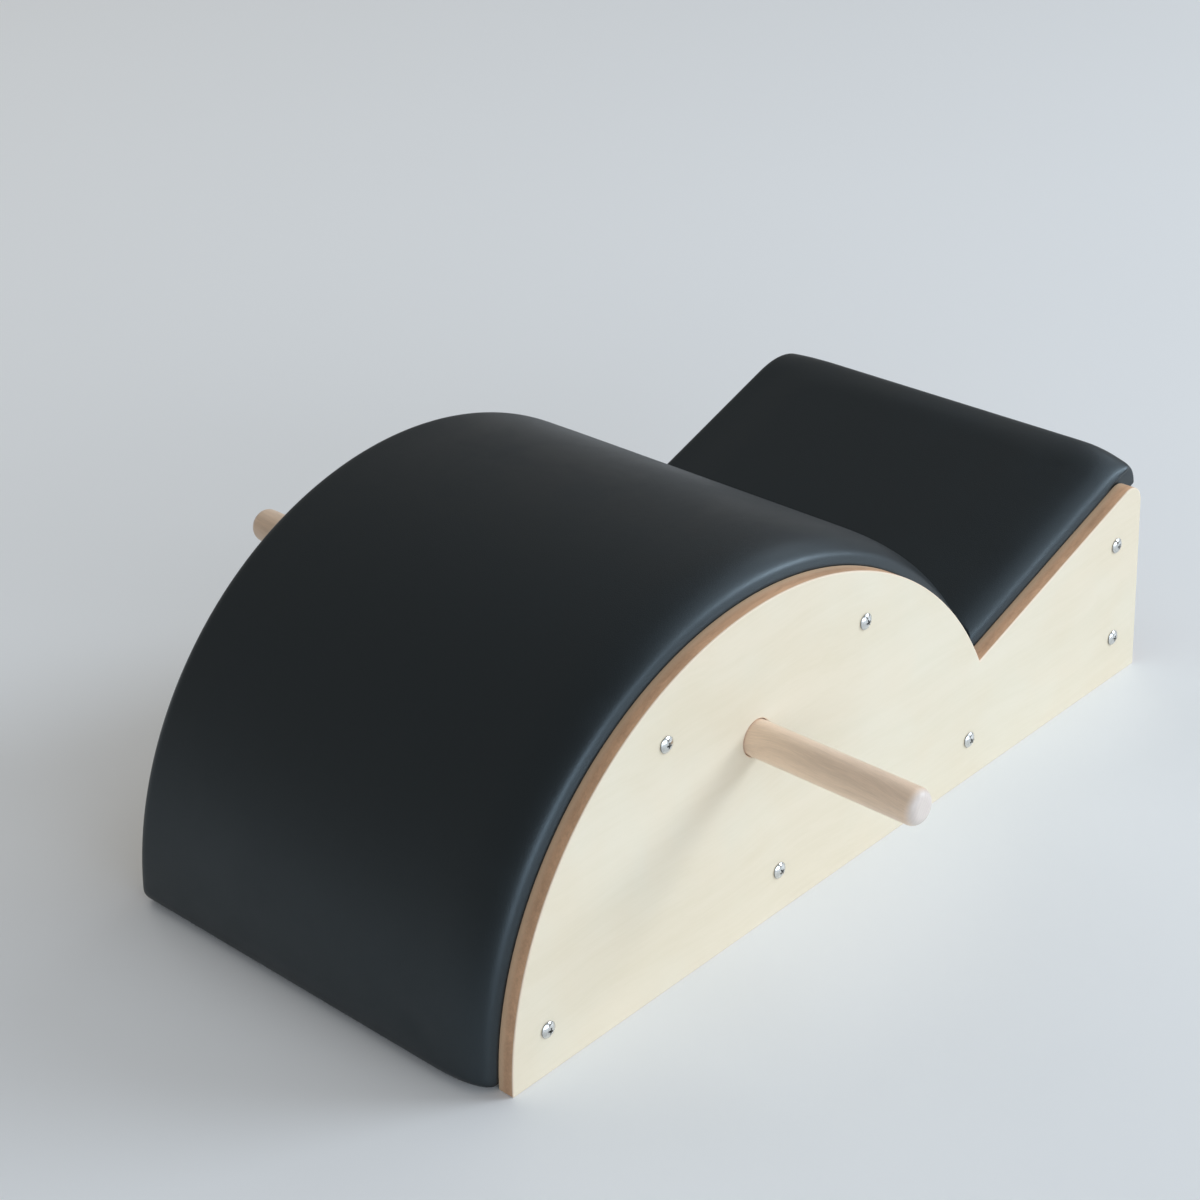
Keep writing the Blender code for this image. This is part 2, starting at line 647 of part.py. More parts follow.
def add_handles(bores, looks):
    """Each handle slides out of a socket block behind its panel."""
    mesh = handle_mesh()
    mesh.materials.append(looks["beech"])
    centre = handle_centre()
    half = SOCKET_WIDTH / 2
    corners = [Vector((centre.x + a * half, centre.y + b * half)) for a, b in ((-1, -1), (-1, 1), (1, 1), (1, -1))]
    for side, word, guide in ((-1, "near", bores[0]), (1, "far", bores[1])):
        handle = new_object("handle_" + word, mesh, location=place(centre, side * OVERALL_WIDTH / 2))
        handle.rotation_euler.z = 0.0 if side < 0 else math.pi
        outer = side * (INNER_HALF - FIT_GAP)
        inner = outer - side * (SOCKET_DEPTH + SOCKET_FLOOR)
        name = "handle_socket_" + word
        block = new_object(name, prism_mesh(name, corners, min(outer, inner), max(outer, inner)), looks["softwood"])
        cut(block, guide)


def main():
    for old in list(bpy.data.objects):
        bpy.data.objects.remove(old)
    looks = make_materials()
    places = batten_places()
    bores = (add_bores(-1, places), add_bores(1, places))
    add_panel("side_panel_near", -1, bores[0], looks)
    add_panel("side_panel_far", 1, bores[1], looks)
    add_battens(places, bores, looks)
    add_decks(looks)
    add_pads(looks)
    add_screws(places, looks)
    add_handles(bores, looks)
    bpy.context.view_layer.update()


main()
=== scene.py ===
import math

import bmesh
import bpy
from bpy.props import FloatProperty, FloatVectorProperty, IntProperty, PointerProperty
from mathutils import Euler, Matrix, Vector


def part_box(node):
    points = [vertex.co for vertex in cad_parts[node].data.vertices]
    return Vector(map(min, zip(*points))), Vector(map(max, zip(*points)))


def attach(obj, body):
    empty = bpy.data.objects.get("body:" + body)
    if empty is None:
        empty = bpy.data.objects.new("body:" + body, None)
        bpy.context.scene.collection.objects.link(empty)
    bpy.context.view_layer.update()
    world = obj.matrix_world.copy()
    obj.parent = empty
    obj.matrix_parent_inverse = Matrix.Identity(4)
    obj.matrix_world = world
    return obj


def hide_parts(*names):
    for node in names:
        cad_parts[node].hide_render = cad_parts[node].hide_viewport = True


bl_info = {
    "name": "Spine Corrector Looks",
    "version": (1, 0, 0),
    "blender": (4, 5, 0),
    "location": "3D View > Sidebar > Spine Corrector",
    "description": "Dresses a spine corrector in vinyl, veneered board, turned beech and bright steel",
    "category": "Object",
}

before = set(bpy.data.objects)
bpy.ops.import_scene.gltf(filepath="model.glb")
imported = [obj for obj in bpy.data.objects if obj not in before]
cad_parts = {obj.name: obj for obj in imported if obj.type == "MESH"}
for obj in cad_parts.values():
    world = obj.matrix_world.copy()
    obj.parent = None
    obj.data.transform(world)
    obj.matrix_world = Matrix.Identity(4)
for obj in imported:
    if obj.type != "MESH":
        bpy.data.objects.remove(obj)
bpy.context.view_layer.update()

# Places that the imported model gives
PANEL_BOX = {side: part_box("side_panel_" + side) for side in ("near", "far")}
HANDLE_BOX = {side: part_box("handle_" + side) for side in ("near", "far")}
BARREL_PAD_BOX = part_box("barrel_cover")
STEP_PAD_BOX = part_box("step_cover")
SCREW_NODES = {side: sorted(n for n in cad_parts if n.startswith("screw_") and n.endswith(side))
               for side in ("near", "far")}
BATTEN_NODES = sorted(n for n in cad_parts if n.endswith("_batten")) + ["step_cleat"]
SOCKET_NODES = ["handle_socket_near", "handle_socket_far"]

# The gap that pieces which touch keep, and the side of the middle plane that each side lies on
FIT_GAP = 0.0003
SIDES = {"near": -1, "far": 1}


# Settings that a user may change


def a_length(name, about, default):
    return FloatProperty(name=name, description=about, default=default, unit="LENGTH", subtype="DISTANCE")


def an_angle(name, about, degrees):
    return FloatProperty(
        name=name, description=about, default=math.radians(degrees), unit="ROTATION", subtype="ANGLE")


def a_power(name, about, default):
    return FloatProperty(name=name, description=about, default=default, unit="POWER")


def a_color(name, about, default):
    return FloatVectorProperty(name=name, description=about, default=default, subtype="COLOR", size=3)


class PanelSettings(bpy.types.PropertyGroup):
    barrel_radius: a_length("Barrel Radius", "Radius of the panels' curved edge", 0.3423)
    axis_drop: a_length("Axis Drop", "Depth of the barrel's axis below the floor", 0.0115)
    notch_height: a_length("Notch Height", "Height at which the curved edge meets the slope", 0.1275)
    step_slope: an_angle("Step Slope", "Slope of the rear part of the panels", 19.0)
    corner_radius: a_length("Corner Radius", "Radius of the panels' top rear corner", 0.020)
    arris: a_length("Arris", "Width of the eased edge round each panel", 0.0012)
    veneer: a_length("Veneer", "Thickness of the pale face veneer", 0.0007)
    face_color: a_color("Face Color", "Colour of the pale veneer", (0.715, 0.625, 0.48))
    edge_color: a_color("Edge Color", "Colour of the brown cut edge", (0.62, 0.372, 0.22))
    # Painted light: the cut edge's colour beside the pads, lighter where they shade it
    edge_painted_light_color: a_color(
        "Pale Edge Color", "Colour of the cut edge right beside the pads", (0.86, 0.60, 0.39))
    # Bare wood at the eased edges, lightened as a painted highlight
    arris_wood_and_highlight_color: a_color("Arris Color", "Colour of the bare wood at the eased edges", (0.79, 0.65, 0.50))


class PadSettings(bpy.types.PropertyGroup):
    proud: a_length("Proud", "Height of the pads above the panels' edge", 0.025)
    seat: a_length("Seat", "Depth of the decks' top below the panels' edge", 0.015)
    deck: a_length("Deck", "Thickness of the decks", 0.009)
    floor_gap: a_length("Floor Gap", "Height of the barrel pad's front end above the floor", 0.003)
    near_width: a_length("Near Width", "Width of the long soft rounding along a pad's near side", 0.055)
    near_height: a_length("Near Height", "Height of that rounding on the barrel pad", 0.016)
    step_near_height: a_length("Step Near Height", "Height of that rounding on the step pad", 0.017)
    far_width: a_length("Far Width", "Width of the tighter rounding along a pad's far side", 0.009)
    far_height: a_length("Far Height", "Height of that rounding", 0.006)
    near_lean: an_angle("Near Lean", "Angle by which a pad's near side leans in over the panel", 18.0)
    near_lip: a_length("Near Lip", "How far a pad's near side laps over the panel's edge", 0.0026)
    far_bulge: a_length(
        "Far Bulge", "How far the barrel pad's far side bulges out over the panel's edge", 0.0045)
    step_far_bulge: a_length(
        "Step Far Bulge", "How far the step pad's far side bulges out over the panel's edge", 0.0005)
    corner_fall: a_length("Corner Fall", "Pull on the step pad's far rear corner, down and in", 0.010)
    near_corner_fall: a_length(
        "Near Corner Fall", "Pull on the step pad's near rear corner, down and in", 0.0045)
    corner_width: a_length("Corner Width", "Reach of those pulls from the corners", 0.065)
    swell_room: a_length(
        "Swell Room", "How much lower a pad starts, before the foam presses its cover out", 0.0010)
    nose_radius: a_length("Nose Radius", "Radius of the barrel pad's lower front end", 0.012)
    lip_radius: a_length("Lip Radius", "Radius of the pads' ends at the crease", 0.009)
    rear_start: a_length(
        "Rear Start", "Distance from the step pad's top rear corner at which its top bends down", 0.060)
    rear_end: a_length("Rear End", "Depth below that corner at which its rear becomes straight", 0.038)
    crease_gap: a_length("Crease Gap", "Gap between the two pads at the crease", 0.0006)
    mesh_step: a_length("Mesh Step", "Size of a pad's mesh faces before they are divided", 0.0075)
    pressure: FloatProperty(
        name="Pressure", description="Pressure of the foam against the stretched cover", default=4.0)
    swell_limit: a_length(
        "Swell Limit", "The most that the cover may move out under the foam's pressure", 0.0022)
    color: a_color("Vinyl Color", "Colour of the black vinyl", (0.0013, 0.0021, 0.0029))
    roughness: FloatProperty(
        name="Vinyl Roughness", description="Roughness of the vinyl's satin finish", default=0.42)


class HandleSettings(bpy.types.PropertyGroup):
    end_radius: a_length("End Radius", "Rounding of the handles' outer ends", 0.0100)
    inner_chamfer: a_length("Inner Chamfer", "Chamfer at the handles' inner ends", 0.002)
    clearance: a_length("Clearance", "Gap round a handle where it enters its panel", 0.0006)
    color: a_color("Beech Color", "Colour of the turned beech", (0.87, 0.665, 0.50))
    end_color: a_color("End Grain Color", "Colour of the handles' sawn ends", (0.68, 0.595, 0.535))


class ScrewSettings(bpy.types.PropertyGroup):
    head_rim: a_length("Head Rim", "Height of a head's straight rim", 0.0008)
    shank: a_length("Shank", "Diameter of a screw's shank", 0.006)
    bore_clearance: a_length("Bore Clearance", "Gap round a screw's shank in its panel", 0.0003)
    recess_span: a_length("Recess Span", "Length of the cross recess", 0.0080)
    recess_slot: a_length("Recess Slot", "Width of the cross recess", 0.0017)
    recess_depth: a_length("Recess Depth", "Depth of the cross recess", 0.0026)
    turn_seed: IntProperty(
        name="Turn Seed", description="Seed for how far each screw is turned", default=5)
    color: a_color("Steel Color", "Colour of the plated steel", (0.74, 0.74, 0.72))


class WoodSettings(bpy.types.PropertyGroup):
    softwood_color: a_color("Softwood Color", "Colour of the battens and sockets", (0.66, 0.50, 0.31))
    plywood_color: a_color("Plywood Color", "Colour of the decks' bare plywood", (0.64, 0.49, 0.32))


class StageSettings(bpy.types.PropertyGroup):
    camera_place: FloatVectorProperty(
        name="Camera Place", description="Where the camera stands", subtype="TRANSLATION",
        unit="LENGTH", size=3, default=(-1.6332, -1.5613, 1.4391))
    camera_azimuth: an_angle(
        "Camera Azimuth", "Direction of view round the object, from the front panel's side", -44.92)
    camera_elevation: an_angle("Camera Elevation", "How steeply the camera looks down", 28.749)
    camera_roll: an_angle("Camera Roll", "How far the camera leans to the left", -3.395)
    lens: FloatProperty(
        name="Lens", description="Focal length in millimetres on a sensor 36 mm wide", default=79.458)
    floor_color: a_color("Floor Color", "Colour of the plain pale floor", (0.865, 0.875, 0.88))
    sky_color: a_color("Sky Color", "Colour of the plain surroundings", (1.0, 0.985, 0.96))
    sky_strength: FloatProperty(
        name="Sky Strength", description="Light from all round", default=0.265)
    window_power: a_power("Window Power", "Light of the large soft lamp at the right", 146.0)
    top_power: a_power(
        "Top Power", "Light of the soft lamp above the far side, which leaves no highlights", 38.0)
    high_power: a_power("High Power", "Light of the soft lamp high above the near side", 38.0)
    side_power: a_power("Side Power", "Light of the high soft lamp at the rear end's side", 44.0)
    near_power: a_power("Near Power", "Light of the wide soft lamp in front of the near side", 124.0)


GROUPS = {
    "panel": PanelSettings,
    "pad": PadSettings,
    "handle": HandleSettings,
    "screw": ScrewSettings,
    "wood": WoodSettings,
    "stage": StageSettings,
}


def settings(name):
    return getattr(bpy.context.scene, "corrector_" + name)


# Node trees


def add_node(tree, kind, inputs=None, **traits):
    """A node with its traits set, and each input either set or linked. Inputs go by name or by number."""
    made = tree.nodes.new(kind)
    for name, value in traits.items():
        setattr(made, name, value)
    for key, value in (inputs or {}).items():
        if isinstance(value, bpy.types.NodeSocket):
            tree.links.new(value, made.inputs[key])
        else:
            made.inputs[key].default_value = value
    return made


def new_group(name, kind, inputs, outputs):
    """A node group with its sockets in their order, each run of one kind as (kind, name, name, ...)."""
    tree = bpy.data.node_groups.new(name, kind)
    for in_out, runs in (("INPUT", inputs), ("OUTPUT", outputs)):
        for socket_kind, *names in runs:
            for socket_name in names:
                tree.interface.new_socket(
                    socket_name, in_out=in_out, socket_type="NodeSocket" + socket_kind)
    return tree, tree.nodes.new("NodeGroupInput").outputs, tree.nodes.new("NodeGroupOutput").inputs


def first(tree, kind, inputs, **traits):
    """The first output of a new node."""
    return add_node(tree, kind, inputs, **traits).outputs[0]


def math_node(tree, operation, a, b=None):
    inputs = {0: a} if b is None else {0: a, 1: b}
    return first(tree, "ShaderNodeMath", inputs, operation=operation)


def plus(tree, a, b):
    return math_node(tree, "ADD", a, b)


def minus(tree, a, b):
    return math_node(tree, "SUBTRACT", a, b)


def times(tree, a, b):
    return math_node(tree, "MULTIPLY", a, b)


def vector_node(tree, operation, inputs):
    """A vector node's outputs: the vector, and the value."""
    return add_node(tree, "ShaderNodeVectorMath", inputs, operation=operation).outputs


def mix_color(tree, factor, a, b):
    return add_node(tree, "ShaderNodeMix", {"Factor": factor, 6: a, 7: b}, data_type="RGBA").outputs[2]


def laid_over(tree, color, mask, share, other):
    """A colour with another laid over it where a mask is, to a share."""
    return mix_color(tree, times(tree, mask, share), color, other)


def map_range(tree, value, low, high, to_low=0.0, to_high=1.0):
    inputs = {"Value": value, "From Min": low, "From Max": high, "To Min": to_low, "To Max": to_high}
    return first(tree, "ShaderNodeMapRange", inputs, interpolation_type="SMOOTHSTEP")


def noise(tree, vector, scale, detail=2.0, roughness=0.5, distortion=0.0):
    return add_node(tree, "ShaderNodeTexNoise", {
        "Vector": vector, "Scale": scale, "Detail": detail,
        "Roughness": roughness, "Distortion": distortion,
    }).outputs["Fac"]


# How fine the specks are
SPECK_SCALE = 900.0


def figure_group():
    """Wood figure: slow streaks, growth lines and short dark pores, all drawn out along the X axis."""
    tree, given, made = new_group(
        "wood_figure", "ShaderNodeTree",
        [("Vector", "Vector"), ("Color", "Light", "Dark"), ("Float", "Streaks", "Contrast", "Pores")],
        [("Color", "Color"), ("Float", "Height", "Roughness")],
    )
    place = given["Vector"]
    streaks = given["Streaks"]
    along = first(tree, "ShaderNodeMapping", {"Vector": place, "Scale": (0.045, 1.0, 1.0)})
    wander = noise(tree, place, 4.0)
    shift = first(tree, "ShaderNodeCombineXYZ", {"Y": wander, "Z": wander})
    small = vector_node(tree, "SCALE", {0: shift, "Scale": 0.05})[0]
    bent = vector_node(tree, "ADD", {0: along, 1: small})[0]
    streak = noise(tree, bent, streaks, 4.0, 0.6)
    lines = noise(tree, bent, times(tree, streaks, 9.0), 2.0, 0.7)
    pores = map_range(tree, noise(tree, bent, times(tree, streaks, 30.0), 1.0), 0.63, 0.75)
    both = plus(tree, times(tree, streak, 0.65), times(tree, lines, 0.35))
    tone = times(tree, map_range(tree, both, 0.35, 0.68), given["Contrast"])
    body = mix_color(tree, tone, given["Light"], given["Dark"])
    pore_share = times(tree, pores, given["Pores"])
    tree.links.new(mix_color(tree, pore_share, body, given["Dark"]), made["Color"])
    tree.links.new(minus(tree, lines, times(tree, pore_share, 1.5)), made["Height"])
    tree.links.new(map_range(tree, both, 0.3, 0.7, -0.05, 0.05), made["Roughness"])


def handling_group():
    """Traces of handling: broad smudges and fine specks, as masks from 0 to 1."""
    tree, given, made = new_group(
        "handling_traces", "ShaderNodeTree",
        [("Vector", "Vector"), ("Float", "Smudge Scale", "Speck Scale")],
        [("Float", "Smudge", "Specks")],
    )
    broad = noise(tree, given["Vector"], given["Smudge Scale"], 4.0, 0.6, 0.4)
    tree.links.new(map_range(tree, broad, 0.38, 0.66), made["Smudge"])
    specks = noise(tree, given["Vector"], given["Speck Scale"], 1.0)
    tree.links.new(map_range(tree, specks, 0.70, 0.78), made["Specks"])


def new_material(name):
    """A material with its tree, its Principled shader, and the object's own coordinates."""
    made = bpy.data.materials.new(name)
    made.use_nodes = True
    tree = made.node_tree
    place = tree.nodes.new("ShaderNodeTexCoord").outputs["Object"]
    return made, tree, tree.nodes["Principled BSDF"], place


def finish_look(tree, shader, color, roughness, normal):
    """Links a material's colour, roughness and normal to its shader."""
    for name, value in (("Base Color", color), ("Roughness", roughness), ("Normal", normal)):
        tree.links.new(value, shader.inputs[name])


def use_group(tree, name, inputs):
    return add_node(tree, "ShaderNodeGroup", inputs, node_tree=bpy.data.node_groups[name]).outputs


def wood_figure(tree, place, light, dark, streaks, contrast, pores):
    """A wood's colour, height and roughness along X, between a light and a dark colour."""
    return use_group(tree, "wood_figure", {
        "Vector": place, "Light": light, "Dark": dark,
        "Streaks": streaks, "Contrast": contrast, "Pores": pores,
    })


def traces_of_use(tree, place, smudge_scale):
    """Masks of broad smudges and of fine specks, where a piece is handled."""
    return use_group(tree, "handling_traces", {
        "Vector": place, "Smudge Scale": smudge_scale, "Speck Scale": SPECK_SCALE,
    })


def bump(tree, height, distance, strength):
    inputs = {"Height": height, "Distance": distance, "Strength": strength}
    return add_node(tree, "ShaderNodeBump", inputs).outputs["Normal"]


def laid(tree, place):
    """Coordinates turned, so that a wood's figure lies along the battens and handles."""
    return first(tree, "ShaderNodeMapping", {"Vector": place, "Rotation": (0.0, 0.0, math.pi / 2)})


def reach_across(tree, place):
    """Distance from the object's lengthwise middle plane."""
    return math_node(tree, "ABSOLUTE", add_node(tree, "ShaderNodeSeparateXYZ", {0: place}).outputs["Y"])


def shade(color, factor=1.0):
    """A colour with alpha, lighter or darker by a factor."""
    return (*[channel * factor for channel in color], 1.0)


# How far below the face a panel's eased edge starts to show bare wood, lightened as a painted highlight
FACE_SKIN = 0.00004
# How far from the pads the cut edge starts to turn pale, painted light where they shade it, and where it
# is fully pale
PAINTED_LIGHT_BAND = (0.011, 0.001)
# How far from its tip a handle starts to show end grain, and where it shows nothing else
END_BAND = (0.0090, 0.0015)
# Where the pith of a handle's wood lies beside its middle
PITH_PLACE = Vector((0.03, 0.0, -0.02))
# The plies of a deck, and how much of its thickness they fill
PLIES = 5
PLY_FILL = 0.92


def vinyl_material():
    """Black satin vinyl: fine pebbles and creases, soft ripples, smudges and pale specks."""
    chosen = settings("pad")
    made, tree, shader, place = new_material("black_vinyl")
    traces = traces_of_use(tree, place, 7.0)
    grain = noise(tree, place, 620.0, 3.0, 0.55)
    creases = first(
        tree, "ShaderNodeTexVoronoi", {"Vector": place, "Scale": 480.0}, feature="DISTANCE_TO_EDGE")
    pebble = plus(tree, grain, map_range(tree, creases, 0.0, 0.14))
    ripples = bump(tree, noise(tree, place, 11.0, 2.0, 0.4), 0.004, 0.12)
    fine = add_node(tree, "ShaderNodeBump", {
        "Height": pebble, "Distance": 0.00012, "Strength": 0.35, "Normal": ripples,
    }).outputs["Normal"]
    color = laid_over(
        tree, shade(chosen.color), traces["Smudge"], 0.35, shade(chosen.color, 1.35))
    color = laid_over(tree, color, traces["Specks"], 0.10, (0.05, 0.053, 0.058, 1.0))
    rough = plus(tree, times(tree, traces["Smudge"], 0.07), times(tree, grain, 0.08))
    finish_look(tree, shader, color, plus(tree, rough, chosen.roughness - 0.06), fine)
    shader.inputs["Specular IOR Level"].default_value = 0.76
    shader.inputs["Specular Tint"].default_value = (0.75, 0.91, 1.0, 1.0)
    return made


def panel_material():
    """Pale veneer on both faces, and a brown cut edge between the veneers, lightened beside the pads with
    painted light. The eased edges show bare wood, lightened as a painted highlight.
    """
    chosen = settings("panel")
    made, tree, shader, place = new_material("veneered_board")
    face = wood_figure(tree, place, shade(chosen.face_color), (0.66, 0.575, 0.42, 1.0), 26.0, 0.55, 0.22)
    clouds = map_range(tree, noise(tree, place, 5.0, 3.0, 0.6), 0.40, 0.70)
    veneer = laid_over(tree, face["Color"], clouds, 0.30, (0.73, 0.705, 0.595, 1.0))
    warm = map_range(tree, noise(tree, place, 8.0, 2.0, 0.5, 0.6), 0.52, 0.72)
    veneer = laid_over(tree, veneer, warm, 0.22, (0.745, 0.63, 0.475, 1.0))
    edge = wood_figure(
        tree, place, shade(chosen.edge_color, 1.12), shade(chosen.edge_color, 0.72), 40.0, 0.8, 0.35)
    reach = reach_across(tree, place)
    outer = abs(PANEL_BOX["near"][0].y)
    inner = abs(PANEL_BOX["near"][1].y)
    depth = math_node(tree, "ABSOLUTE", minus(tree, reach, (outer + inner) / 2))
    in_core = math_node(tree, "LESS_THAN", depth, (outer - inner) / 2 - chosen.veneer)
    # Painted light: the cut edge turns pale beside the pads, where they shade it
    beside_pad = map_range(tree, reach, inner + PAINTED_LIGHT_BAND[0], inner + PAINTED_LIGHT_BAND[1])
    cut_edge = mix_color(tree, beside_pad, edge["Color"], shade(chosen.edge_painted_light_color))
    color = mix_color(tree, in_core, veneer, cut_edge)
    # Eased edges: bare wood, lightened as a painted highlight
    off_face = math_node(tree, "LESS_THAN", reach, outer - FACE_SKIN)
    near_face = math_node(tree, "GREATER_THAN", reach, outer - chosen.arris)
    color = mix_color(tree, times(tree, off_face, near_face), color, shade(chosen.arris_wood_and_highlight_color))
    smudge = traces_of_use(tree, place, 8.0)["Smudge"]
    rough = plus(tree, face["Roughness"], times(tree, smudge, 0.06))
    rough = plus(tree, rough, times(tree, in_core, 0.12))
    height = plus(tree, face["Height"], edge["Height"])
    finish_look(tree, shader, color, plus(tree, rough, 0.44), bump(tree, height, 0.00012, 0.25))
    shader.inputs["Specular IOR Level"].default_value = 0.40
    return made


def beech_material():
    """Turned beech: its grain runs along the handle, with short dark rays, and end grain at the ends."""
    chosen = settings("handle")
    made, tree, shader, place = new_material("turned_beech")
    body = wood_figure(
        tree, laid(tree, place), shade(chosen.color, 1.06), shade(chosen.color, 0.80), 120.0, 0.75, 0.45)
    smudge = traces_of_use(tree, place, 16.0)["Smudge"]
    worn = laid_over(tree, body["Color"], smudge, 0.18, shade(chosen.color, 0.90))
    tip = abs(HANDLE_BOX["near"][0].y)
    at_end = map_range(tree, reach_across(tree, place), tip - END_BAND[0], tip - END_BAND[1])
    pith = sum(HANDLE_BOX["near"], Vector()) / 2 + PITH_PLACE
    from_pith = vector_node(tree, "SUBTRACT", {0: place, 1: (pith.x, 0.0, pith.z)})[0]
    rings = add_node(tree, "ShaderNodeTexWave", {
        "Vector": from_pith, "Scale": 95.0, "Distortion": 1.6, "Detail": 2.0, "Detail Scale": 3.0,
    }, wave_type="RINGS", rings_direction="Y").outputs["Fac"]
    end_pores = map_range(tree, noise(tree, place, 1500.0, 1.0), 0.60, 0.72)
    end = chosen.end_color
    cut = laid_over(tree, shade(end), rings, 0.35, shade(end, 0.86))
    cut = laid_over(tree, cut, end_pores, 0.30, shade(end, 0.70))
    color = mix_color(tree, at_end, worn, cut)
    rough = plus(tree, body["Roughness"], times(tree, smudge, 0.10))
    normal = bump(tree, body["Height"], 0.00010, 0.30)
    finish_look(tree, shader, color, plus(tree, rough, 0.33), normal)
    return made


def steel_material():
    """Bright plated steel with fine scratches, and painted shade darkening the recess and the head's rim.
    """
    chosen = settings("screw")
    made, tree, shader, place = new_material("bright_steel")
    smudge = traces_of_use(tree, place, 220.0)["Smudge"]
    color = laid_over(tree, shade(chosen.color), smudge, 0.4, shade(chosen.color, 0.80))
    # Painted shade: the steel turns dark in the recess and round the head's rim
    grime = add_node(tree, "ShaderNodeAttribute", attribute_name="grime").outputs["Fac"]
    color = mix_color(tree, grime, color, shade(chosen.color, 0.22))
    rough = plus(tree, map_range(tree, smudge, 0.0, 1.0, 0.14, 0.28), times(tree, grime, 0.3))
    scratches = first(tree, "ShaderNodeMapping", {"Vector": place, "Scale": (1.0, 1.0, 0.05)})
    finish_look(tree, shader, color, rough, bump(tree, noise(tree, scratches, 5200.0), 0.00004, 0.25))
    shader.inputs["Metallic"].default_value = 1.0
    return made


def softwood_material():
    """Planed softwood with clear growth lines along the batten, and warm knots now and then."""
    chosen = settings("wood").softwood_color
    made, tree, shader, place = new_material("batten_softwood")
    body = wood_figure(
        tree, laid(tree, place), shade(chosen, 1.08), shade(chosen, 0.62), 90.0, 0.9, 0.15)
    spots = first(tree, "ShaderNodeTexVoronoi", {"Vector": place, "Scale": 6.0}, feature="F1")
    knots = map_range(tree, spots, 0.10, 0.045)
    color = laid_over(tree, body["Color"], knots, 0.7, (0.30, 0.16, 0.075, 1.0))
    rough = plus(tree, body["Roughness"], 0.62)
    finish_look(tree, shader, color, rough, bump(tree, body["Height"], 0.0002, 0.3))
    return made


def plywood_material(name, depth_of):
    """Bare plywood: figured faces, and dark glue lines between the plies along the cut edges. depth_of
    gives a point's depth in the board as a share of its thickness."""
    chosen = settings("wood").plywood_color
    made, tree, shader, place = new_material(name)
    body = wood_figure(
        tree, laid(tree, place), shade(chosen, 1.08), shade(chosen, 0.70), 34.0, 0.8, 0.4)
    plies = times(tree, depth_of(tree, place), PLIES * PLY_FILL)
    share = math_node(tree, "FRACT", plus(tree, plies, PLIES * (1 - PLY_FILL) / 2))
    from_middle = math_node(tree, "ABSOLUTE", minus(tree, share, 0.5))
    glue = map_range(tree, from_middle, 0.40, 0.48)
    color = laid_over(tree, body["Color"], glue, 0.75, (0.20, 0.115, 0.06, 1.0))
    rough = plus(tree, body["Roughness"], 0.66)
    finish_look(tree, shader, color, rough, bump(tree, body["Height"], 0.0002, 0.35))
    return made


def bent_depth(view, pad):
    """Depth in the barrel's deck, measured from its outer face towards the barrel's axis."""
    axis = (view["barrel_x"], 0.0, -view["drop"])

    def measure(tree, place):
        from_axis = vector_node(tree, "SUBTRACT", {0: place, 1: axis})[0]
        flat = vector_node(tree, "MULTIPLY", {0: from_axis, 1: (1.0, 0.0, 1.0)})[0]
        radius = vector_node(tree, "LENGTH", {0: flat})["Value"]
        return math_node(tree, "DIVIDE", minus(tree, view["deck_outer"], radius), pad.deck)
    return measure


def sloping_depth(view, pad):
    """Depth in the step's deck, measured square to its slope from its upper face."""
    rise = (view["rise"].x, 0.0, view["rise"].y)
    notch = (view["barrel_x"] + view["notch"].x, 0.0, view["notch"].y - view["drop"])

    def measure(tree, place):
        away = vector_node(tree, "SUBTRACT", {0: place, 1: notch})[0]
        height = vector_node(tree, "DOT_PRODUCT", {0: away, 1: rise})["Value"]
        return math_node(tree, "DIVIDE", minus(tree, -pad.seat, height), pad.deck)
    return measure


def floor_material():
    """A plain pale floor, which keeps the object's shadow."""
    chosen = settings("stage")
    made, tree, shader, place = new_material("plain_floor")
    color = mix_color(
        tree, noise(tree, place, 0.8), shade(chosen.floor_color, 0.985), shade(chosen.floor_color, 1.015))
    tree.links.new(color, shader.inputs["Base Color"])
    shader.inputs["Roughness"].default_value = 0.55
    shader.inputs["Specular IOR Level"].default_value = 0.25
    return made


# Outlines of the side view, as points (u, w) measured from the barrel's axis


def side_view():
    """What the outlines share: the slope, the notch, the barrel's place and the radii."""
    panel = settings("panel")
    pad = settings("pad")
    slope = Vector((math.cos(panel.step_slope), math.sin(panel.step_slope)))
    rise = Vector((-slope.y, slope.x))
    notch_w = panel.notch_height + panel.axis_drop
    notch = Vector((math.sqrt(panel.barrel_radius ** 2 - notch_w ** 2), notch_w))
    barrel_x = PANEL_BOX["near"][0].x + math.sqrt(panel.barrel_radius ** 2 - panel.axis_drop ** 2)
    top = pad.proud - pad.swell_room
    valley = line_meets_circle(notch + rise * pad.proud, slope, panel.barrel_radius + pad.proud)
    crease = (valley - notch).normalized()
    return {
        "slope": slope, "rise": rise, "notch": notch, "barrel_x": barrel_x,
        "rear": PANEL_BOX["near"][1].x - barrel_x,
        "rear_face": STEP_PAD_BOX[1].x - barrel_x,
        "top": top, "pad_radius": panel.barrel_radius + top,
        "deck_outer": panel.barrel_radius - pad.seat,
        "deck_inner": panel.barrel_radius - pad.seat - pad.deck,
        "crease": crease, "crease_side": Vector((-crease.y, crease.x)), "drop": panel.axis_drop,
    }


def line_meets_line(a, along_a, b, along_b):
    t = (b - a).cross(along_b) / along_a.cross(along_b)
    return a + along_a * t


def line_meets_circle(point, along, radius):
    """The further crossing of a straight line and a circle round the barrel's axis."""
    half = point.dot(along)
    return point + along * (math.sqrt(half ** 2 - point.length_squared + radius ** 2) - half)


def angle_of(point):
    return math.atan2(point.y, point.x)


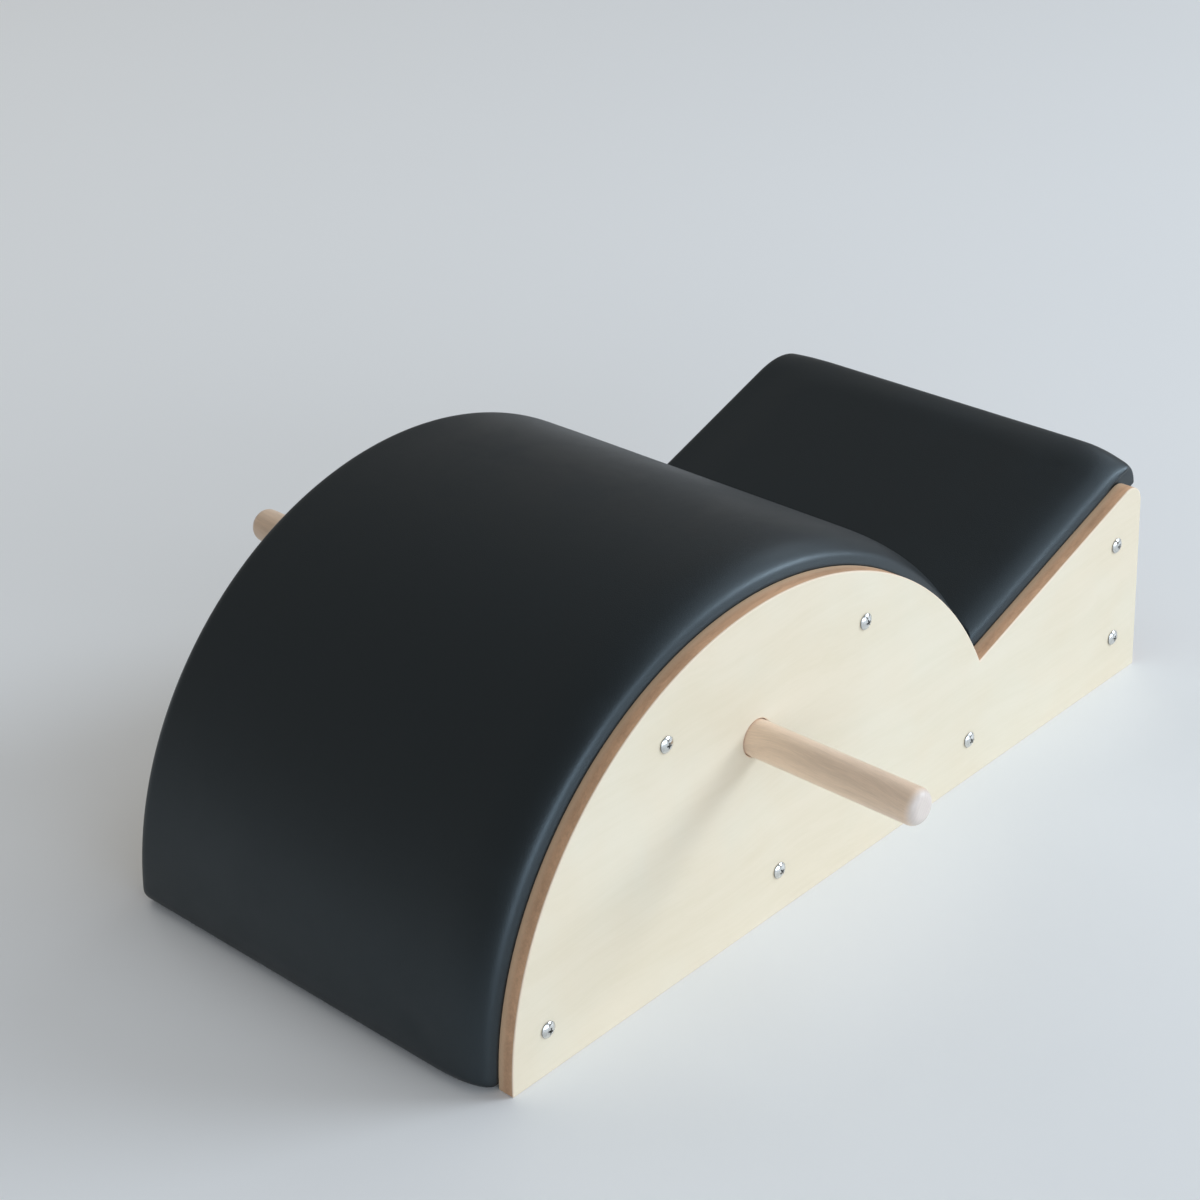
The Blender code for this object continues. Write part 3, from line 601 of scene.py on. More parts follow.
def arc(centre, radius, start, end, steps):
    angles = [start + (end - start) * i / steps for i in range(steps + 1)]
    return [centre + Vector((math.cos(a), math.sin(a))) * radius for a in angles]


def corner_arc(before, corner, after, radius, steps):
    """The arc that rounds the corner between two straight edges."""
    back = (before - corner).normalized()
    ahead = (after - corner).normalized()
    half = back.angle(ahead) / 2
    centre = corner + (back + ahead).normalized() * (radius / math.sin(half))
    start = angle_of(corner + back * (radius / math.tan(half)) - centre)
    turn = (math.pi - 2 * half) * (1 if back.cross(ahead) < 0 else -1)
    return arc(centre, radius, start, start + turn, steps)


def soft_corner(before, corner, after, back, ahead, steps):
    """A soft bend round a corner, from the distance back before it to the distance ahead after it."""
    start = corner + (before - corner).normalized() * back
    end = corner + (after - corner).normalized() * ahead
    shares = [i / steps for i in range(steps + 1)]
    return [start.lerp(corner, share).lerp(corner.lerp(end, share), share) for share in shares]


def run(start, end, steps):
    """Evenly spaced points from start to end, without either end."""
    return [start.lerp(end, i / steps) for i in range(1, steps)]


def graded(start, end, level_start, level_end, steps):
    """Values from start to end, without either end. Away from the ends they keep to those of the level
    outline, so that faces between two outlines stay square."""
    values = []
    for i in range(1, steps):
        t = i / steps
        level = level_start + (level_end - level_start) * t
        values.append(level + (start - level_start) * (1 - t) ** 6 + (end - level_end) * t ** 6)
    return values


UP = Vector((0.0, 1.0))
# The least radius that a pad's end keeps where the top is lowered, and how fast the radii get less
LEAST_RADIUS = 0.0015
RADIUS_LOSS = 0.5
# How far the pads' ends draw in where the top is lowered, as shares of that: at the crease, at the
# barrel pad's front and at the step pad's rear. From the last drop on they go straight down.
CREASE_DRAW = 0.5
NOSE_DRAW = 0.15
REAR_DRAW = 0.1
DRAW_DROP = 0.010
# The most that the step pad's rear bend may take of the pad's depth, and how fast its reach along the
# top and down the rear gets less where the top is lowered
REAR_SHARE = 0.85
REAR_LOSS = (0.3, 0.1)
# Share of the half circle that the barrel pad's top covers, for the count of its points
ARC_SHARE = 0.85
# Steps along the pads' front end, their lips, the step pad's rear bend, the straight runs down and under
# the barrel pad's ends and the step pad's, and past the end of the step's deck
NOSE_STEPS = 6
LIP_STEPS = 5
REAR_STEPS = 12
BARREL_RUNS = (6, 4)
STEP_RUNS = (5, 4)
DECK_END_STEPS = 2


def end_draw(drop, share=CREASE_DRAW):
    """How far a pad's end draws in where the top is lowered by drop."""
    return share * min(drop, DRAW_DROP)


def end_radius(radius, drop):
    """The radius of a pad's end where the top is lowered by drop."""
    return max(radius - RADIUS_LOSS * drop, LEAST_RADIUS)


def barrel_pad_ends(view, pad, drop):
    """The barrel pad's lower front end and its rear lip, as the centre and radius of each, a point of
    its rear line and the height of its lower edge."""
    outer = view["pad_radius"] - drop
    low = view["drop"] + pad.floor_gap + NOSE_DRAW * drop
    nose = end_radius(pad.nose_radius, drop)
    lip = end_radius(pad.lip_radius, drop)
    height = low + nose
    front = Vector((-math.sqrt((outer - nose) ** 2 - height ** 2), height))
    beside = view["notch"] + view["crease_side"] * (pad.crease_gap / 2 + end_draw(drop))
    back = line_meets_circle(beside + view["crease_side"] * lip, view["crease"], outer - lip)
    return front, nose, back, lip, beside, low


def barrel_pad_outline(view, pad, drop, deep):
    """The closed outline of the barrel pad where its top is lowered by drop, down to the radius deep."""
    outer = view["pad_radius"] - drop
    front, nose, back, lip, beside, low = barrel_pad_ends(view, pad, drop)
    level_front, _, level_back, *_ = barrel_pad_ends(view, pad, 0.0)
    over = round(view["pad_radius"] * math.pi * ARC_SHARE / pad.mesh_step)
    points = arc(front, nose, 1.5 * math.pi, angle_of(front), NOSE_STEPS)
    angles = graded(angle_of(front), angle_of(back), angle_of(level_front), angle_of(level_back), over)
    points += [Vector((math.cos(a), math.sin(a))) * outer for a in angles]
    points += arc(back, lip, angle_of(back), angle_of(-view["crease_side"]), LIP_STEPS)
    foot = line_meets_circle(beside, view["crease"], deep)
    points += run(points[-1], foot, BARREL_RUNS[0])
    toe = Vector((-math.sqrt(deep ** 2 - low ** 2), low))
    points += arc(Vector((0.0, 0.0)), deep, angle_of(foot), angle_of(toe), over // 2)
    points += run(toe, points[0], BARREL_RUNS[1])
    return points


def step_pad_ends(view, pad, drop):
    """The step pad's rounded ends where its top is lowered by drop: the lip at the crease, the rear
    corner and a point of its rear line."""
    slope, notch = view["slope"], view["notch"]
    top = notch + view["rise"] * (view["top"] - drop)
    beside = notch - view["crease_side"] * (pad.crease_gap / 2 + end_draw(drop))
    behind = Vector((view["rear_face"] - end_draw(drop, REAR_DRAW), 0.0))
    crest = line_meets_line(top, slope, beside, view["crease"])
    corner = line_meets_line(top, slope, behind, UP)
    lip_arc = corner_arc(beside, crest, corner, end_radius(pad.lip_radius, drop), LIP_STEPS)
    depth = (view["top"] - drop + pad.seat + pad.deck) / slope.x
    rear_start = pad.rear_start - REAR_LOSS[0] * drop
    rear_end = min(pad.rear_end - REAR_LOSS[1] * drop, REAR_SHARE * depth)
    rear_arc = soft_corner(crest, corner, Vector((corner.x, 0.0)), rear_start, rear_end, REAR_STEPS)
    return lip_arc, rear_arc, behind


def step_pad_outline(view, pad, drop, deep):
    """The closed outline of the step pad where its top is lowered by drop, down to the level deep."""
    slope, rise, notch, crease = view["slope"], view["rise"], view["notch"], view["crease"]
    seat = -pad.seat + FIT_GAP
    straight = notch - view["crease_side"] * (pad.crease_gap / 2)

    def front_at(level):
        at_crease = line_meets_line(notch + rise * level, slope, straight, crease)
        at_barrel = line_meets_circle(notch + rise * level, slope, view["deck_outer"] + FIT_GAP)
        return max(at_crease, at_barrel, key=lambda point: point.dot(slope))

    lip_arc, rear_arc, behind = step_pad_ends(view, pad, drop)
    level_lip, level_rear, _ = step_pad_ends(view, pad, 0.0)
    heel = line_meets_line(notch + rise * deep, slope, behind, UP)
    along = round((view["rear"] - notch.x) / (slope.x * pad.mesh_step))
    points = [front_at(seat)]
    points += run(points[0], lip_arc[0], STEP_RUNS[0])
    ends = [point.dot(slope) for point in (lip_arc[-1], rear_arc[0], level_lip[-1], level_rear[0])]
    places = graded(*ends, along)
    above = rise * lip_arc[-1].dot(rise)
    points += lip_arc + [slope * place + above for place in places] + rear_arc
    points += run(points[-1], heel, STEP_RUNS[1])
    behind_deck = Vector((view["rear"] + FIT_GAP, 0.0))
    under_deck = line_meets_line(notch + rise * deep, slope, behind_deck, UP)
    over_deck = line_meets_line(notch + rise * seat, slope, behind_deck, UP)
    points += [heel] + run(heel, under_deck, DECK_END_STEPS) + [under_deck]
    points += run(under_deck, over_deck, DECK_END_STEPS) + [over_deck]
    points += run(over_deck, points[0], along // 2)
    return points


# Meshes

# The angles in degrees over which an edge stays sharp: in general, on the pads and on the handles
SHARP = 35
PAD_SHARP = 50
HANDLE_SHARP = 40
# How far a pad's side leans in for each step of its wall, and the number of steps over the first
WALL_LEAN = 0.0002
WALL_STEPS = 3
# The height over which a pad's near side comes out over the panel's edge
LIP_RISE = 0.0003
# The distance between a pad's outlines over its rounding, and the least number of them there
BEND_STEP = 0.0045
LEAST_BENDS = 6
# How much longer than wide the faces of a pad's middle are
MIDDLE_STRETCH = 1.6
# How far from its sides a pad's lean and bulge reach in
SIDE_REACH = 0.020
# The direction, lengthwise and down, in which the step pad's rear corners are pulled, and their way in
CORNER_PULL = Vector((0.5, 0.87))
CORNER_DRAW = 0.5
# The height of a far side's bulge as a share of the pad's height over the panels
BULGE_SPAN = 1.6
# A cover may move above this height over the panels' edge, and from this far in from its sides on, more
# and more over the last distance
HELD_HEIGHT = 0.012
HELD_SIDE = 0.012
HELD_FADE = 0.035
CLOTH_FRAMES = 20


def new_piece(name, data, material=None):
    """A new object of the scene, from a mesh, a lamp or a camera."""
    made = bpy.data.objects.new(name, data)
    bpy.context.scene.collection.objects.link(made)
    if material is not None:
        data.materials.append(material)
    return made


def apply_modifiers(piece):
    """Turns what the modifiers make into the piece's own mesh."""
    bpy.context.view_layer.update()
    graph = bpy.context.evaluated_depsgraph_get()
    mesh = bpy.data.meshes.new_from_object(piece.evaluated_get(graph))
    mesh.name = piece.name
    piece.modifiers.clear()
    piece.data = mesh


def smooth(mesh, degrees=SHARP):
    """Shades a mesh smooth, apart from its sharp edges."""
    mesh.shade_smooth()
    mesh.set_sharp_from_angle(angle=math.radians(degrees))


def join_rings(shape, ring, following):
    """Faces between two rings of corners."""
    for i in range(len(ring)):
        after = (i + 1) % len(ring)
        shape.faces.new((ring[i], ring[after], following[after], following[i]))


def mesh_from(shape, name, outward=True):
    """A mesh from a bmesh, its faces turned outward if asked."""
    if outward:
        bmesh.ops.recalc_face_normals(shape, faces=shape.faces[:])
    mesh = bpy.data.meshes.new(name)
    shape.to_mesh(mesh)
    shape.free()
    return mesh


def turned_mesh(name, profile, sides):
    """Turns a profile of (radius, distance along -Y) round the Y axis, closed at both ends."""
    shape = bmesh.new()
    turns = [2 * math.pi * i / sides for i in range(sides)]
    rings = []
    for radius, along in profile:
        corners = [(radius * math.cos(t), -along, radius * math.sin(t)) for t in turns]
        rings.append([shape.verts.new(corner) for corner in corners])
    for ring, following in zip(rings, rings[1:]):
        join_rings(shape, ring, following)
    shape.faces.new(rings[0])
    shape.faces.new(rings[-1])
    return mesh_from(shape, name)


def side_stations(pad, top, width, height, half):
    """Places from one side of a pad to its middle, each with how much lower the top is there: up the
    side's wall, over its elliptic rounding, and on to the middle."""
    wall = top - height
    stations = [(0.0, top), (WALL_LEAN, top - LIP_RISE)]
    for i in range(1, WALL_STEPS):
        stations.append((WALL_LEAN * (i + 1), top - LIP_RISE - (wall - LIP_RISE) * i / WALL_STEPS))
    foot = WALL_LEAN * (WALL_STEPS + 1)
    bends = max(LEAST_BENDS, round(width / BEND_STEP))
    for i in range(bends + 1):
        turn = math.pi / 2 * i / bends
        stations.append((foot + width * (1 - math.cos(turn)), height * (1 - math.sin(turn))))
    start = foot + width
    flat = round((half - start) / (MIDDLE_STRETCH * pad.mesh_step))
    return stations + [(start + (half - start) * i / flat, 0.0) for i in range(1, flat + 1)]


def pad_stations(pad, view, half, near_height):
    """Places across a pad from its near to its far side, each with how much lower the top is there."""
    near = side_stations(pad, view["top"], pad.near_width, near_height, half)
    far = side_stations(pad, view["top"], pad.far_width, pad.far_height, half)
    return [(across - half, drop) for across, drop in near] + [
        (half - across, drop) for across, drop in reversed(far[:-1])
    ]


def on_barrel(view, point):
    """Whether a point lies on the barrel's side of the crease."""
    return (point - view["notch"]).dot(view["crease_side"]) >= 0


def height_over_panels(view, point):
    """How far a point of a pad stands out of the panels' edge."""
    if on_barrel(view, point):
        return point.length - settings("panel").barrel_radius
    return (point - view["notch"]).dot(view["rise"])


def fitted_point(view, pad, point, y, half):
    """A pad's point in the object's frame. Above the panels' edge the near side laps over that edge and
    leans in, the far side bulges out, and the step pad's two rear corners are pulled down and in."""
    height = height_over_panels(view, point)
    if height > 0.0:
        to_rear = max(0.0, 1 - (view["rear_face"] - point.x) / pad.corner_width)
        to_side = max(0.0, 1 - (half - abs(y)) / pad.corner_width)
        fall = pad.near_corner_fall if y < 0 else pad.corner_fall
        pull = fall * (to_rear * to_side) ** 2 * min(1.0, height / view["top"])
        side_share = max(0.0, 1 - (half - abs(y)) / SIDE_REACH)
        if y < 0:
            out = pad.near_lip * min(1.0, height / LIP_RISE) - math.tan(pad.near_lean) * height
        else:
            bulge = pad.far_bulge if on_barrel(view, point) else pad.step_far_bulge
            out = bulge * math.sin(math.pi * min(1.0, height / (view["top"] * BULGE_SPAN)))
        point = point - CORNER_PULL * pull
        y += (out * side_share - CORNER_DRAW * pull) * (-1 if y < 0 else 1)
    return Vector((view["barrel_x"] + point.x, y, point.y - view["drop"]))


def pad_mesh(name, view, outline, half, near_height):
    """A pad through its outlines across the object, each side closed by a flat face."""
    pad = settings("pad")
    shape = bmesh.new()
    rings = []
    for y, drop in pad_stations(pad, view, half, near_height):
        corners = [fitted_point(view, pad, point, y, half) for point in outline(drop)]
        rings.append([shape.verts.new(corner) for corner in corners])
    for ring, following in zip(rings, rings[1:]):
        join_rings(shape, ring, following)
    for ring in (rings[0], rings[-1]):
        face = shape.faces.new(ring)
        bmesh.ops.triangulate(shape, faces=[face])
    return mesh_from(shape, name)


def held_share(view, point, half):
    """How firmly a point of a pad is held: 1 is fast, 0 is free. The deck and the panels hold it below,
    and the cover is drawn tight along both sides."""
    above = height_over_panels(view, Vector((point.x - view["barrel_x"], point.z + view["drop"])))
    inwards = half - abs(point.y)
    return min(1.0, max(0.0, 1.0 - above / HELD_HEIGHT, 1.0 - (inwards - HELD_SIDE) / HELD_FADE))


def swell(piece, view, half):
    """Lets the foam press the cover outwards with a cloth simulation, and limits how far it moves. Foam
    only presses outwards, so a move inwards isn't kept."""
    pad = settings("pad")
    rest = [(vertex.co.copy(), vertex.normal.copy()) for vertex in piece.data.vertices]
    fast = piece.vertex_groups.new(name="held")
    for vertex in piece.data.vertices:
        fast.add([vertex.index], held_share(view, vertex.co, half), "REPLACE")
    scene = bpy.context.scene
    cloth = piece.modifiers.new("cover", "CLOTH")
    chosen = cloth.settings
    chosen.vertex_group_mass = fast.name
    chosen.use_pressure = True
    chosen.uniform_pressure_force = pad.pressure
    chosen.effector_weights.gravity = 0.0
    chosen.quality = 5
    chosen.tension_stiffness = 40.0
    chosen.compression_stiffness = 40.0
    chosen.shear_stiffness = 20.0
    chosen.bending_stiffness = 4.0
    cloth.collision_settings.use_collision = False
    cloth.point_cache.frame_start = 1
    cloth.point_cache.frame_end = CLOTH_FRAMES
    for number in range(1, CLOTH_FRAMES + 1):
        scene.frame_set(number)
    apply_modifiers(piece)
    scene.frame_set(1)
    for vertex, (start, outwards) in zip(piece.data.vertices, rest):
        move = (vertex.co - start).dot(outwards)
        vertex.co = start + outwards * min(max(move, 0.0), pad.swell_limit)
    piece.vertex_groups.clear()


def divide(piece):
    """One level of subdivision."""
    rounder = piece.modifiers.new("rounder", "SUBSURF")
    rounder.levels = 1
    rounder.render_levels = 1
    apply_modifiers(piece)


def make_pad(name, view, outline, half, near_height, nodes):
    """One pad: its form, the foam's pressure, and a fine mesh."""
    piece = new_piece(name, pad_mesh(name, view, outline, half, near_height), vinyl_look())
    swell(piece, view, half)
    divide(piece)
    smooth(piece.data, PAD_SHARP)
    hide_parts(*nodes)
    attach(piece, "frame")


def vinyl_look():
    return bpy.data.materials.get("black_vinyl") or vinyl_material()


# Geometry nodes


def set_input(modifier, name, value):
    """Sets a modifier's input by its socket's identifier."""
    for item in modifier.node_group.interface.items_tree:
        if item.item_type == "SOCKET" and item.in_out == "INPUT" and item.name == name:
            modifier[item.identifier] = value
            return
    raise KeyError(name)


def run_nodes(piece, tree, values):
    """Runs a node tree on a piece with its values, and keeps the result as the piece's plain mesh."""
    modifier = piece.modifiers.new(tree.name, "NODES")
    modifier.node_group = tree
    for name, value in values.items():
        set_input(modifier, name, value)
    apply_modifiers(piece)


def shape_node(tree, kind, inputs, **traits):
    """The first output of a new geometry node."""
    return first(tree, "GeometryNode" + kind, inputs, **traits)


def end_tree(tree, made, geometry, material):
    """The end of each tree: its instances made real, and its material set."""
    solid = shape_node(tree, "RealizeInstances", {0: geometry})
    dressed = shape_node(tree, "SetMaterial", {"Geometry": solid, "Material": material})
    tree.links.new(dressed, made[0])


def joined(tree, *parts):
    made = tree.nodes.new("GeometryNodeJoinGeometry")
    for part in parts:
        tree.links.new(part, made.inputs[0])
    return made.outputs[0]


def merged(tree, geometry, distance):
    return shape_node(tree, "MergeByDistance", {0: geometry, "Distance": distance})


# The points on a board's rounded corner, and round each of its bores
CORNER_POINTS = 10
BORE_SIDES = 48
# How near to the rear top corner a point counts as that corner
AT_CORNER = 0.001
# Distances under which points of an outline, and of a board's two faces, become one
WELD = 0.0001
SEAL = 0.00001
# Turns what is drawn in the XY plane into the XZ plane
UPRIGHT = Euler((math.pi / 2, 0.0, 0.0))


def board_tree():
    """A board cut to the panels' outline: an arc, a sloping edge and straight edges, with round bores at
    the points of the given mesh. It lies in the XZ plane, as thick as asked from Y = 0 towards -Y."""
    tree, given, made = new_group(
        "cut_board", "GeometryNodeTree",
        [
            ("Geometry", "Bores"), ("Float", "Barrel Radius", "Front Angle", "Arc Sweep"),
            ("Int", "Arc Points"), ("Vector", "Notch", "Rear Top", "Rear Foot", "Front Foot"),
            ("Float", "Corner Radius", "Thickness"), ("Material", "Material"),
        ],
        [("Geometry", "Board")],
    )
    curved = shape_node(tree, "CurveArc", {
        "Resolution": given["Arc Points"], "Radius": given["Barrel Radius"],
        "Start Angle": given["Front Angle"], "Sweep Angle": given["Arc Sweep"],
    }, mode="RADIUS")
    corners = ("Notch", "Rear Top", "Rear Foot", "Front Foot")
    straight = joined(tree, *[
        shape_node(tree, "CurvePrimitiveLine", {"Start": given[start], "End": given[end]})
        for start, end in zip(corners, corners[1:])
    ])
    wire = merged(tree, shape_node(tree, "CurveToMesh", {0: straight}), WELD)
    edges = shape_node(tree, "MeshToCurve", {0: wire})
    place = tree.nodes.new("GeometryNodeInputPosition").outputs[0]
    away = vector_node(tree, "DISTANCE", {0: place, 1: given["Rear Top"]})["Value"]
    radius = times(tree, math_node(tree, "LESS_THAN", away, AT_CORNER), given["Corner Radius"])
    rounded = shape_node(
        tree, "FilletCurve", {"Curve": edges, "Count": CORNER_POINTS, "Radius": radius}, mode="POLY")
    rim = shape_node(tree, "CurveToMesh", {0: joined(tree, curved, rounded)})
    outline = shape_node(tree, "MeshToCurve", {0: merged(tree, rim, WELD)})
    ring = shape_node(tree, "CurvePrimitiveCircle", {"Resolution": BORE_SIDES, "Radius": 1.0})
    bore = shape_node(tree, "InputNamedAttribute", {"Name": "radius"}, data_type="FLOAT")
    size = first(tree, "ShaderNodeCombineXYZ", {0: bore, 1: bore, 2: bore})
    rings = shape_node(
        tree, "InstanceOnPoints", {"Points": given["Bores"], "Instance": ring, "Scale": size})
    bores = shape_node(tree, "RealizeInstances", {0: rings})
    sheet = shape_node(tree, "FillCurve", {0: joined(tree, outline, bores)}, mode="NGONS")
    raised = shape_node(tree, "ExtrudeMesh", {
        "Mesh": sheet, "Offset": first(tree, "ShaderNodeCombineXYZ", {2: given["Thickness"]}),
        "Offset Scale": 1.0, "Individual": False,
    }, mode="FACES")
    bottom = shape_node(tree, "FlipFaces", {0: sheet})
    whole = merged(tree, joined(tree, raised, bottom), SEAL)
    upright = shape_node(tree, "Transform", {"Geometry": whole, "Rotation": UPRIGHT})
    end_tree(tree, made, upright, given["Material"])
    return tree


def bent_board_tree():
    """A board bent round the barrel's axis, from one foot over the top to the other."""
    tree, given, made = new_group(
        "bent_board", "GeometryNodeTree",
        [
            ("Geometry", "Geometry"), ("Float", "Middle Radius", "Foot Angle", "Width", "Thickness"),
            ("Int", "Arc Points"), ("Vector", "Place"), ("Material", "Material"),
        ],
        [("Geometry", "Board")],
    )
    foot = given["Foot Angle"]
    path = shape_node(tree, "CurveArc", {
        "Resolution": given["Arc Points"], "Radius": given["Middle Radius"],
        "Start Angle": foot, "Sweep Angle": minus(tree, math.pi, times(tree, foot, 2.0)),
    }, mode="RADIUS")
    section = shape_node(tree, "CurvePrimitiveQuadrilateral", {
        "Width": given["Thickness"], "Height": given["Width"],
    })
    swept = shape_node(tree, "CurveToMesh", {0: path, 1: section, "Fill Caps": True})
    placed = shape_node(tree, "Transform", {
        "Geometry": swept, "Rotation": UPRIGHT, "Translation": given["Place"],
    })
    end_tree(tree, made, placed, given["Material"])
    return tree


def screw_row_tree():
    """A screw at each of the given points, each turned round its own axis by a random angle."""
    tree, given, made = new_group(
        "screw_row", "GeometryNodeTree",
        [
            ("Geometry", "Places"), ("Object", "Screw"), ("Float", "Facing"), ("Int", "Seed"),
            ("Material", "Material"),
        ],
        [("Geometry", "Screws")],
    )
    source = add_node(tree, "GeometryNodeObjectInfo", {"Object": given["Screw"]}).outputs["Geometry"]
    points = shape_node(tree, "MeshToPoints", {0: given["Places"]})
    turn = add_node(tree, "FunctionNodeRandomValue", {
        "Seed": given["Seed"], 2: 0.0, 3: math.pi / 2,
    }, data_type="FLOAT").outputs[1]
    spin = first(tree, "ShaderNodeCombineXYZ", {1: turn})
    facing = first(tree, "ShaderNodeCombineXYZ", {2: given["Facing"]})
    row = shape_node(tree, "InstanceOnPoints", {"Points": points, "Instance": source})
    turned = shape_node(tree, "RotateInstances", {"Instances": row, "Rotation": facing})
    spun = shape_node(tree, "RotateInstances", {"Instances": turned, "Rotation": spin})
    end_tree(tree, made, spun, given["Material"])
    return tree


def point_mesh(name, points, radii=None):
    """A mesh of loose points, with a radius for each if radii are given."""
    mesh = bpy.data.meshes.new(name)
    mesh.from_pydata(points, [], [])
    if radii is not None:
        stored = mesh.attributes.new("radius", "FLOAT", "POINT")
        for item, radius in zip(stored.data, radii):
            item.value = radius
    return mesh


# Operators: one for each piece or group of like pieces

# Points along a panel's curved edge, and along the bent deck
PANEL_ARC_POINTS = 200
DECK_ARC_POINTS = 120
# The least angle in degrees between faces whose edge is eased
EASED_ANGLE = 50
# How square to Y a face's normal is where it belongs to a panel's flat face
FLAT_FACE = 0.999


def handle_radius(side):
    low, high = HANDLE_BOX[side]
    return (high.z - low.z) / 2


def panel_cut(view):
    """A panel's outline and thickness, as inputs of the cut_board tree."""
    panel = settings("panel")
    front_angle = math.pi - math.asin(panel.axis_drop / panel.barrel_radius)
    notch, slope = view["notch"].to_3d(), view["slope"].to_3d()
    low, high = PANEL_BOX["near"]
    return {
        "Barrel Radius": panel.barrel_radius, "Front Angle": front_angle,
        "Arc Sweep": angle_of(view["notch"]) - front_angle, "Arc Points": PANEL_ARC_POINTS,
        "Notch": notch, "Rear Top": notch + slope * ((view["rear"] - view["notch"].x) / slope.x),
        "Rear Foot": Vector((view["rear"], view["drop"], 0.0)),
        "Front Foot": Vector((panel.barrel_radius * math.cos(front_angle), view["drop"], 0.0)),
        "Corner Radius": panel.corner_radius, "Thickness": high.y - low.y,
    }


def panel_bores(view, side):
    """The centres and radii of the bores for a panel's screws and its handle."""
    screw = settings("screw")
    spots = [sum(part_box(node), Vector()) / 2 for node in SCREW_NODES[side]]
    spots.append(sum(HANDLE_BOX[side], Vector()) / 2)
    centres = [(s.x - view["barrel_x"], s.z + view["drop"], 0.0) for s in spots]
    screw_bore = screw.shank / 2 + screw.bore_clearance
    handle_bore = handle_radius(side) + settings("handle").clearance
    return centres, [screw_bore] * len(SCREW_NODES[side]) + [handle_bore]


def ease_edges(piece):
    """Eases a panel's edges, and keeps its faces flat."""
    ease = piece.modifiers.new("arris", "BEVEL")
    ease.width = settings("panel").arris
    ease.segments = 2
    ease.limit_method = "ANGLE"
    ease.angle_limit = math.radians(EASED_ANGLE)
    ease.use_clamp_overlap = False
    ease.loop_slide = False
    apply_modifiers(piece)
    smooth(piece.data)
    for face in piece.data.polygons:
        if abs(face.normal.y) > FLAT_FACE:
            face.use_smooth = False


class SidePanels(bpy.types.Operator):
    """Cuts both side panels from veneered board, with eased edges and bores for screws and handle"""
    bl_idname = "corrector.side_panels"
    bl_label = "Side Panels"

    def execute(self, context):
        view = side_view()
        cut = panel_cut(view)
        tree = board_tree()
        look = panel_material()
        for side in SIDES:
            name = "panel_board_" + side
            piece = new_piece(name, point_mesh(name, *panel_bores(view, side)))
            run_nodes(piece, tree, {**cut, "Material": look})
            far_face = PANEL_BOX[side][1].y
            piece.data.transform(Matrix.Translation((view["barrel_x"], far_face, -view["drop"])))
            ease_edges(piece)
            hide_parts("side_panel_" + side)
            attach(piece, "frame")
        return {"FINISHED"}


class BarrelPad(bpy.types.Operator):
    """Makes the barrel's pad: foam under black vinyl, from the floor over the top to the crease"""
    bl_idname = "corrector.barrel_pad"
    bl_label = "Barrel Pad"

    def execute(self, context):
        pad = settings("pad")
        view = side_view()
        deep = view["deck_outer"] + FIT_GAP
        make_pad(
            "barrel_pad", view, lambda drop: barrel_pad_outline(view, pad, drop, deep),
            BARREL_PAD_BOX[1].y, pad.near_height, ["barrel_cover", "barrel_foam"],
        )
        return {"FINISHED"}


class StepPad(bpy.types.Operator):
    """Makes the step's pad: foam under black vinyl, from the crease up the slope and over the rear"""
    bl_idname = "corrector.step_pad"
    bl_label = "Step Pad"

    def execute(self, context):
        pad = settings("pad")
        view = side_view()
        deep = -pad.seat - pad.deck
        make_pad(
            "step_pad", view, lambda drop: step_pad_outline(view, pad, drop, deep),
            STEP_PAD_BOX[1].y, pad.step_near_height, ["step_cover", "step_foam"],
        )
        return {"FINISHED"}


# Steps of a handle's straight length, of its rounded end, and round its axis, and the rings in its end
HANDLE_STEPS = 6
HANDLE_END_STEPS = 8
HANDLE_SIDES = 96
END_RINGS = (0.66, 0.33)


def handle_profile(length, radius):
    """A handle as (radius, distance from its inner end), from its chamfer to its rounded outer end."""
    chamfer, rounding = settings("handle").inner_chamfer, settings("handle").end_radius
    straight = length - rounding
    profile = [(radius - chamfer, 0.0), (radius, chamfer)]
    for i in range(1, HANDLE_STEPS + 1):
        profile.append((radius, chamfer + (straight - chamfer) * i / HANDLE_STEPS))
    for i in range(1, HANDLE_END_STEPS + 1):
        turn = math.pi / 2 * i / HANDLE_END_STEPS
        profile.append((radius - rounding * (1 - math.cos(turn)), straight + rounding * math.sin(turn)))
    inside = profile[-1][0]
    return profile + [(inside * share, length) for share in END_RINGS]


class Handles(bpy.types.Operator):
    """Turns both beech handles, each with a rounded outer end"""
    bl_idname = "corrector.handles"
    bl_label = "Handles"

    def execute(self, context):
        look = beech_material()
        for side, sign in SIDES.items():
            low, high = HANDLE_BOX[side]
            name = "turned_handle_" + side
            mesh = turned_mesh(name, handle_profile(high.y - low.y, handle_radius(side)), HANDLE_SIDES)
            inner_end = high.y if sign < 0 else low.y
            centre = Vector(((low.x + high.x) / 2, inner_end, (low.z + high.z) / 2))
            facing = Matrix.Identity(4) if sign < 0 else Matrix.Rotation(math.pi, 4, "Z")
            mesh.transform(Matrix.Translation(centre) @ facing)
            piece = new_piece(name, mesh, look)
            smooth(mesh, HANDLE_SHARP)
            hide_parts("handle_" + side)
            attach(piece, side + "_handle")
        return {"FINISHED"}


# Steps over a screw's dome and round its axis, the length of its point, and the eased foot of its head
DOME_STEPS = 9
SCREW_SIDES = 40
POINT_LENGTH = 0.006
HEAD_FOOT = ((-0.0002, 0.0), (0.0, 0.0003))
# How far the recess's guides stand over the dome, and how long they are there and at the recess's floor,
# as shares of its length
RECESS_OVER = 0.002
RECESS_MOUTH = 1.1
RECESS_FLOOR = 0.45
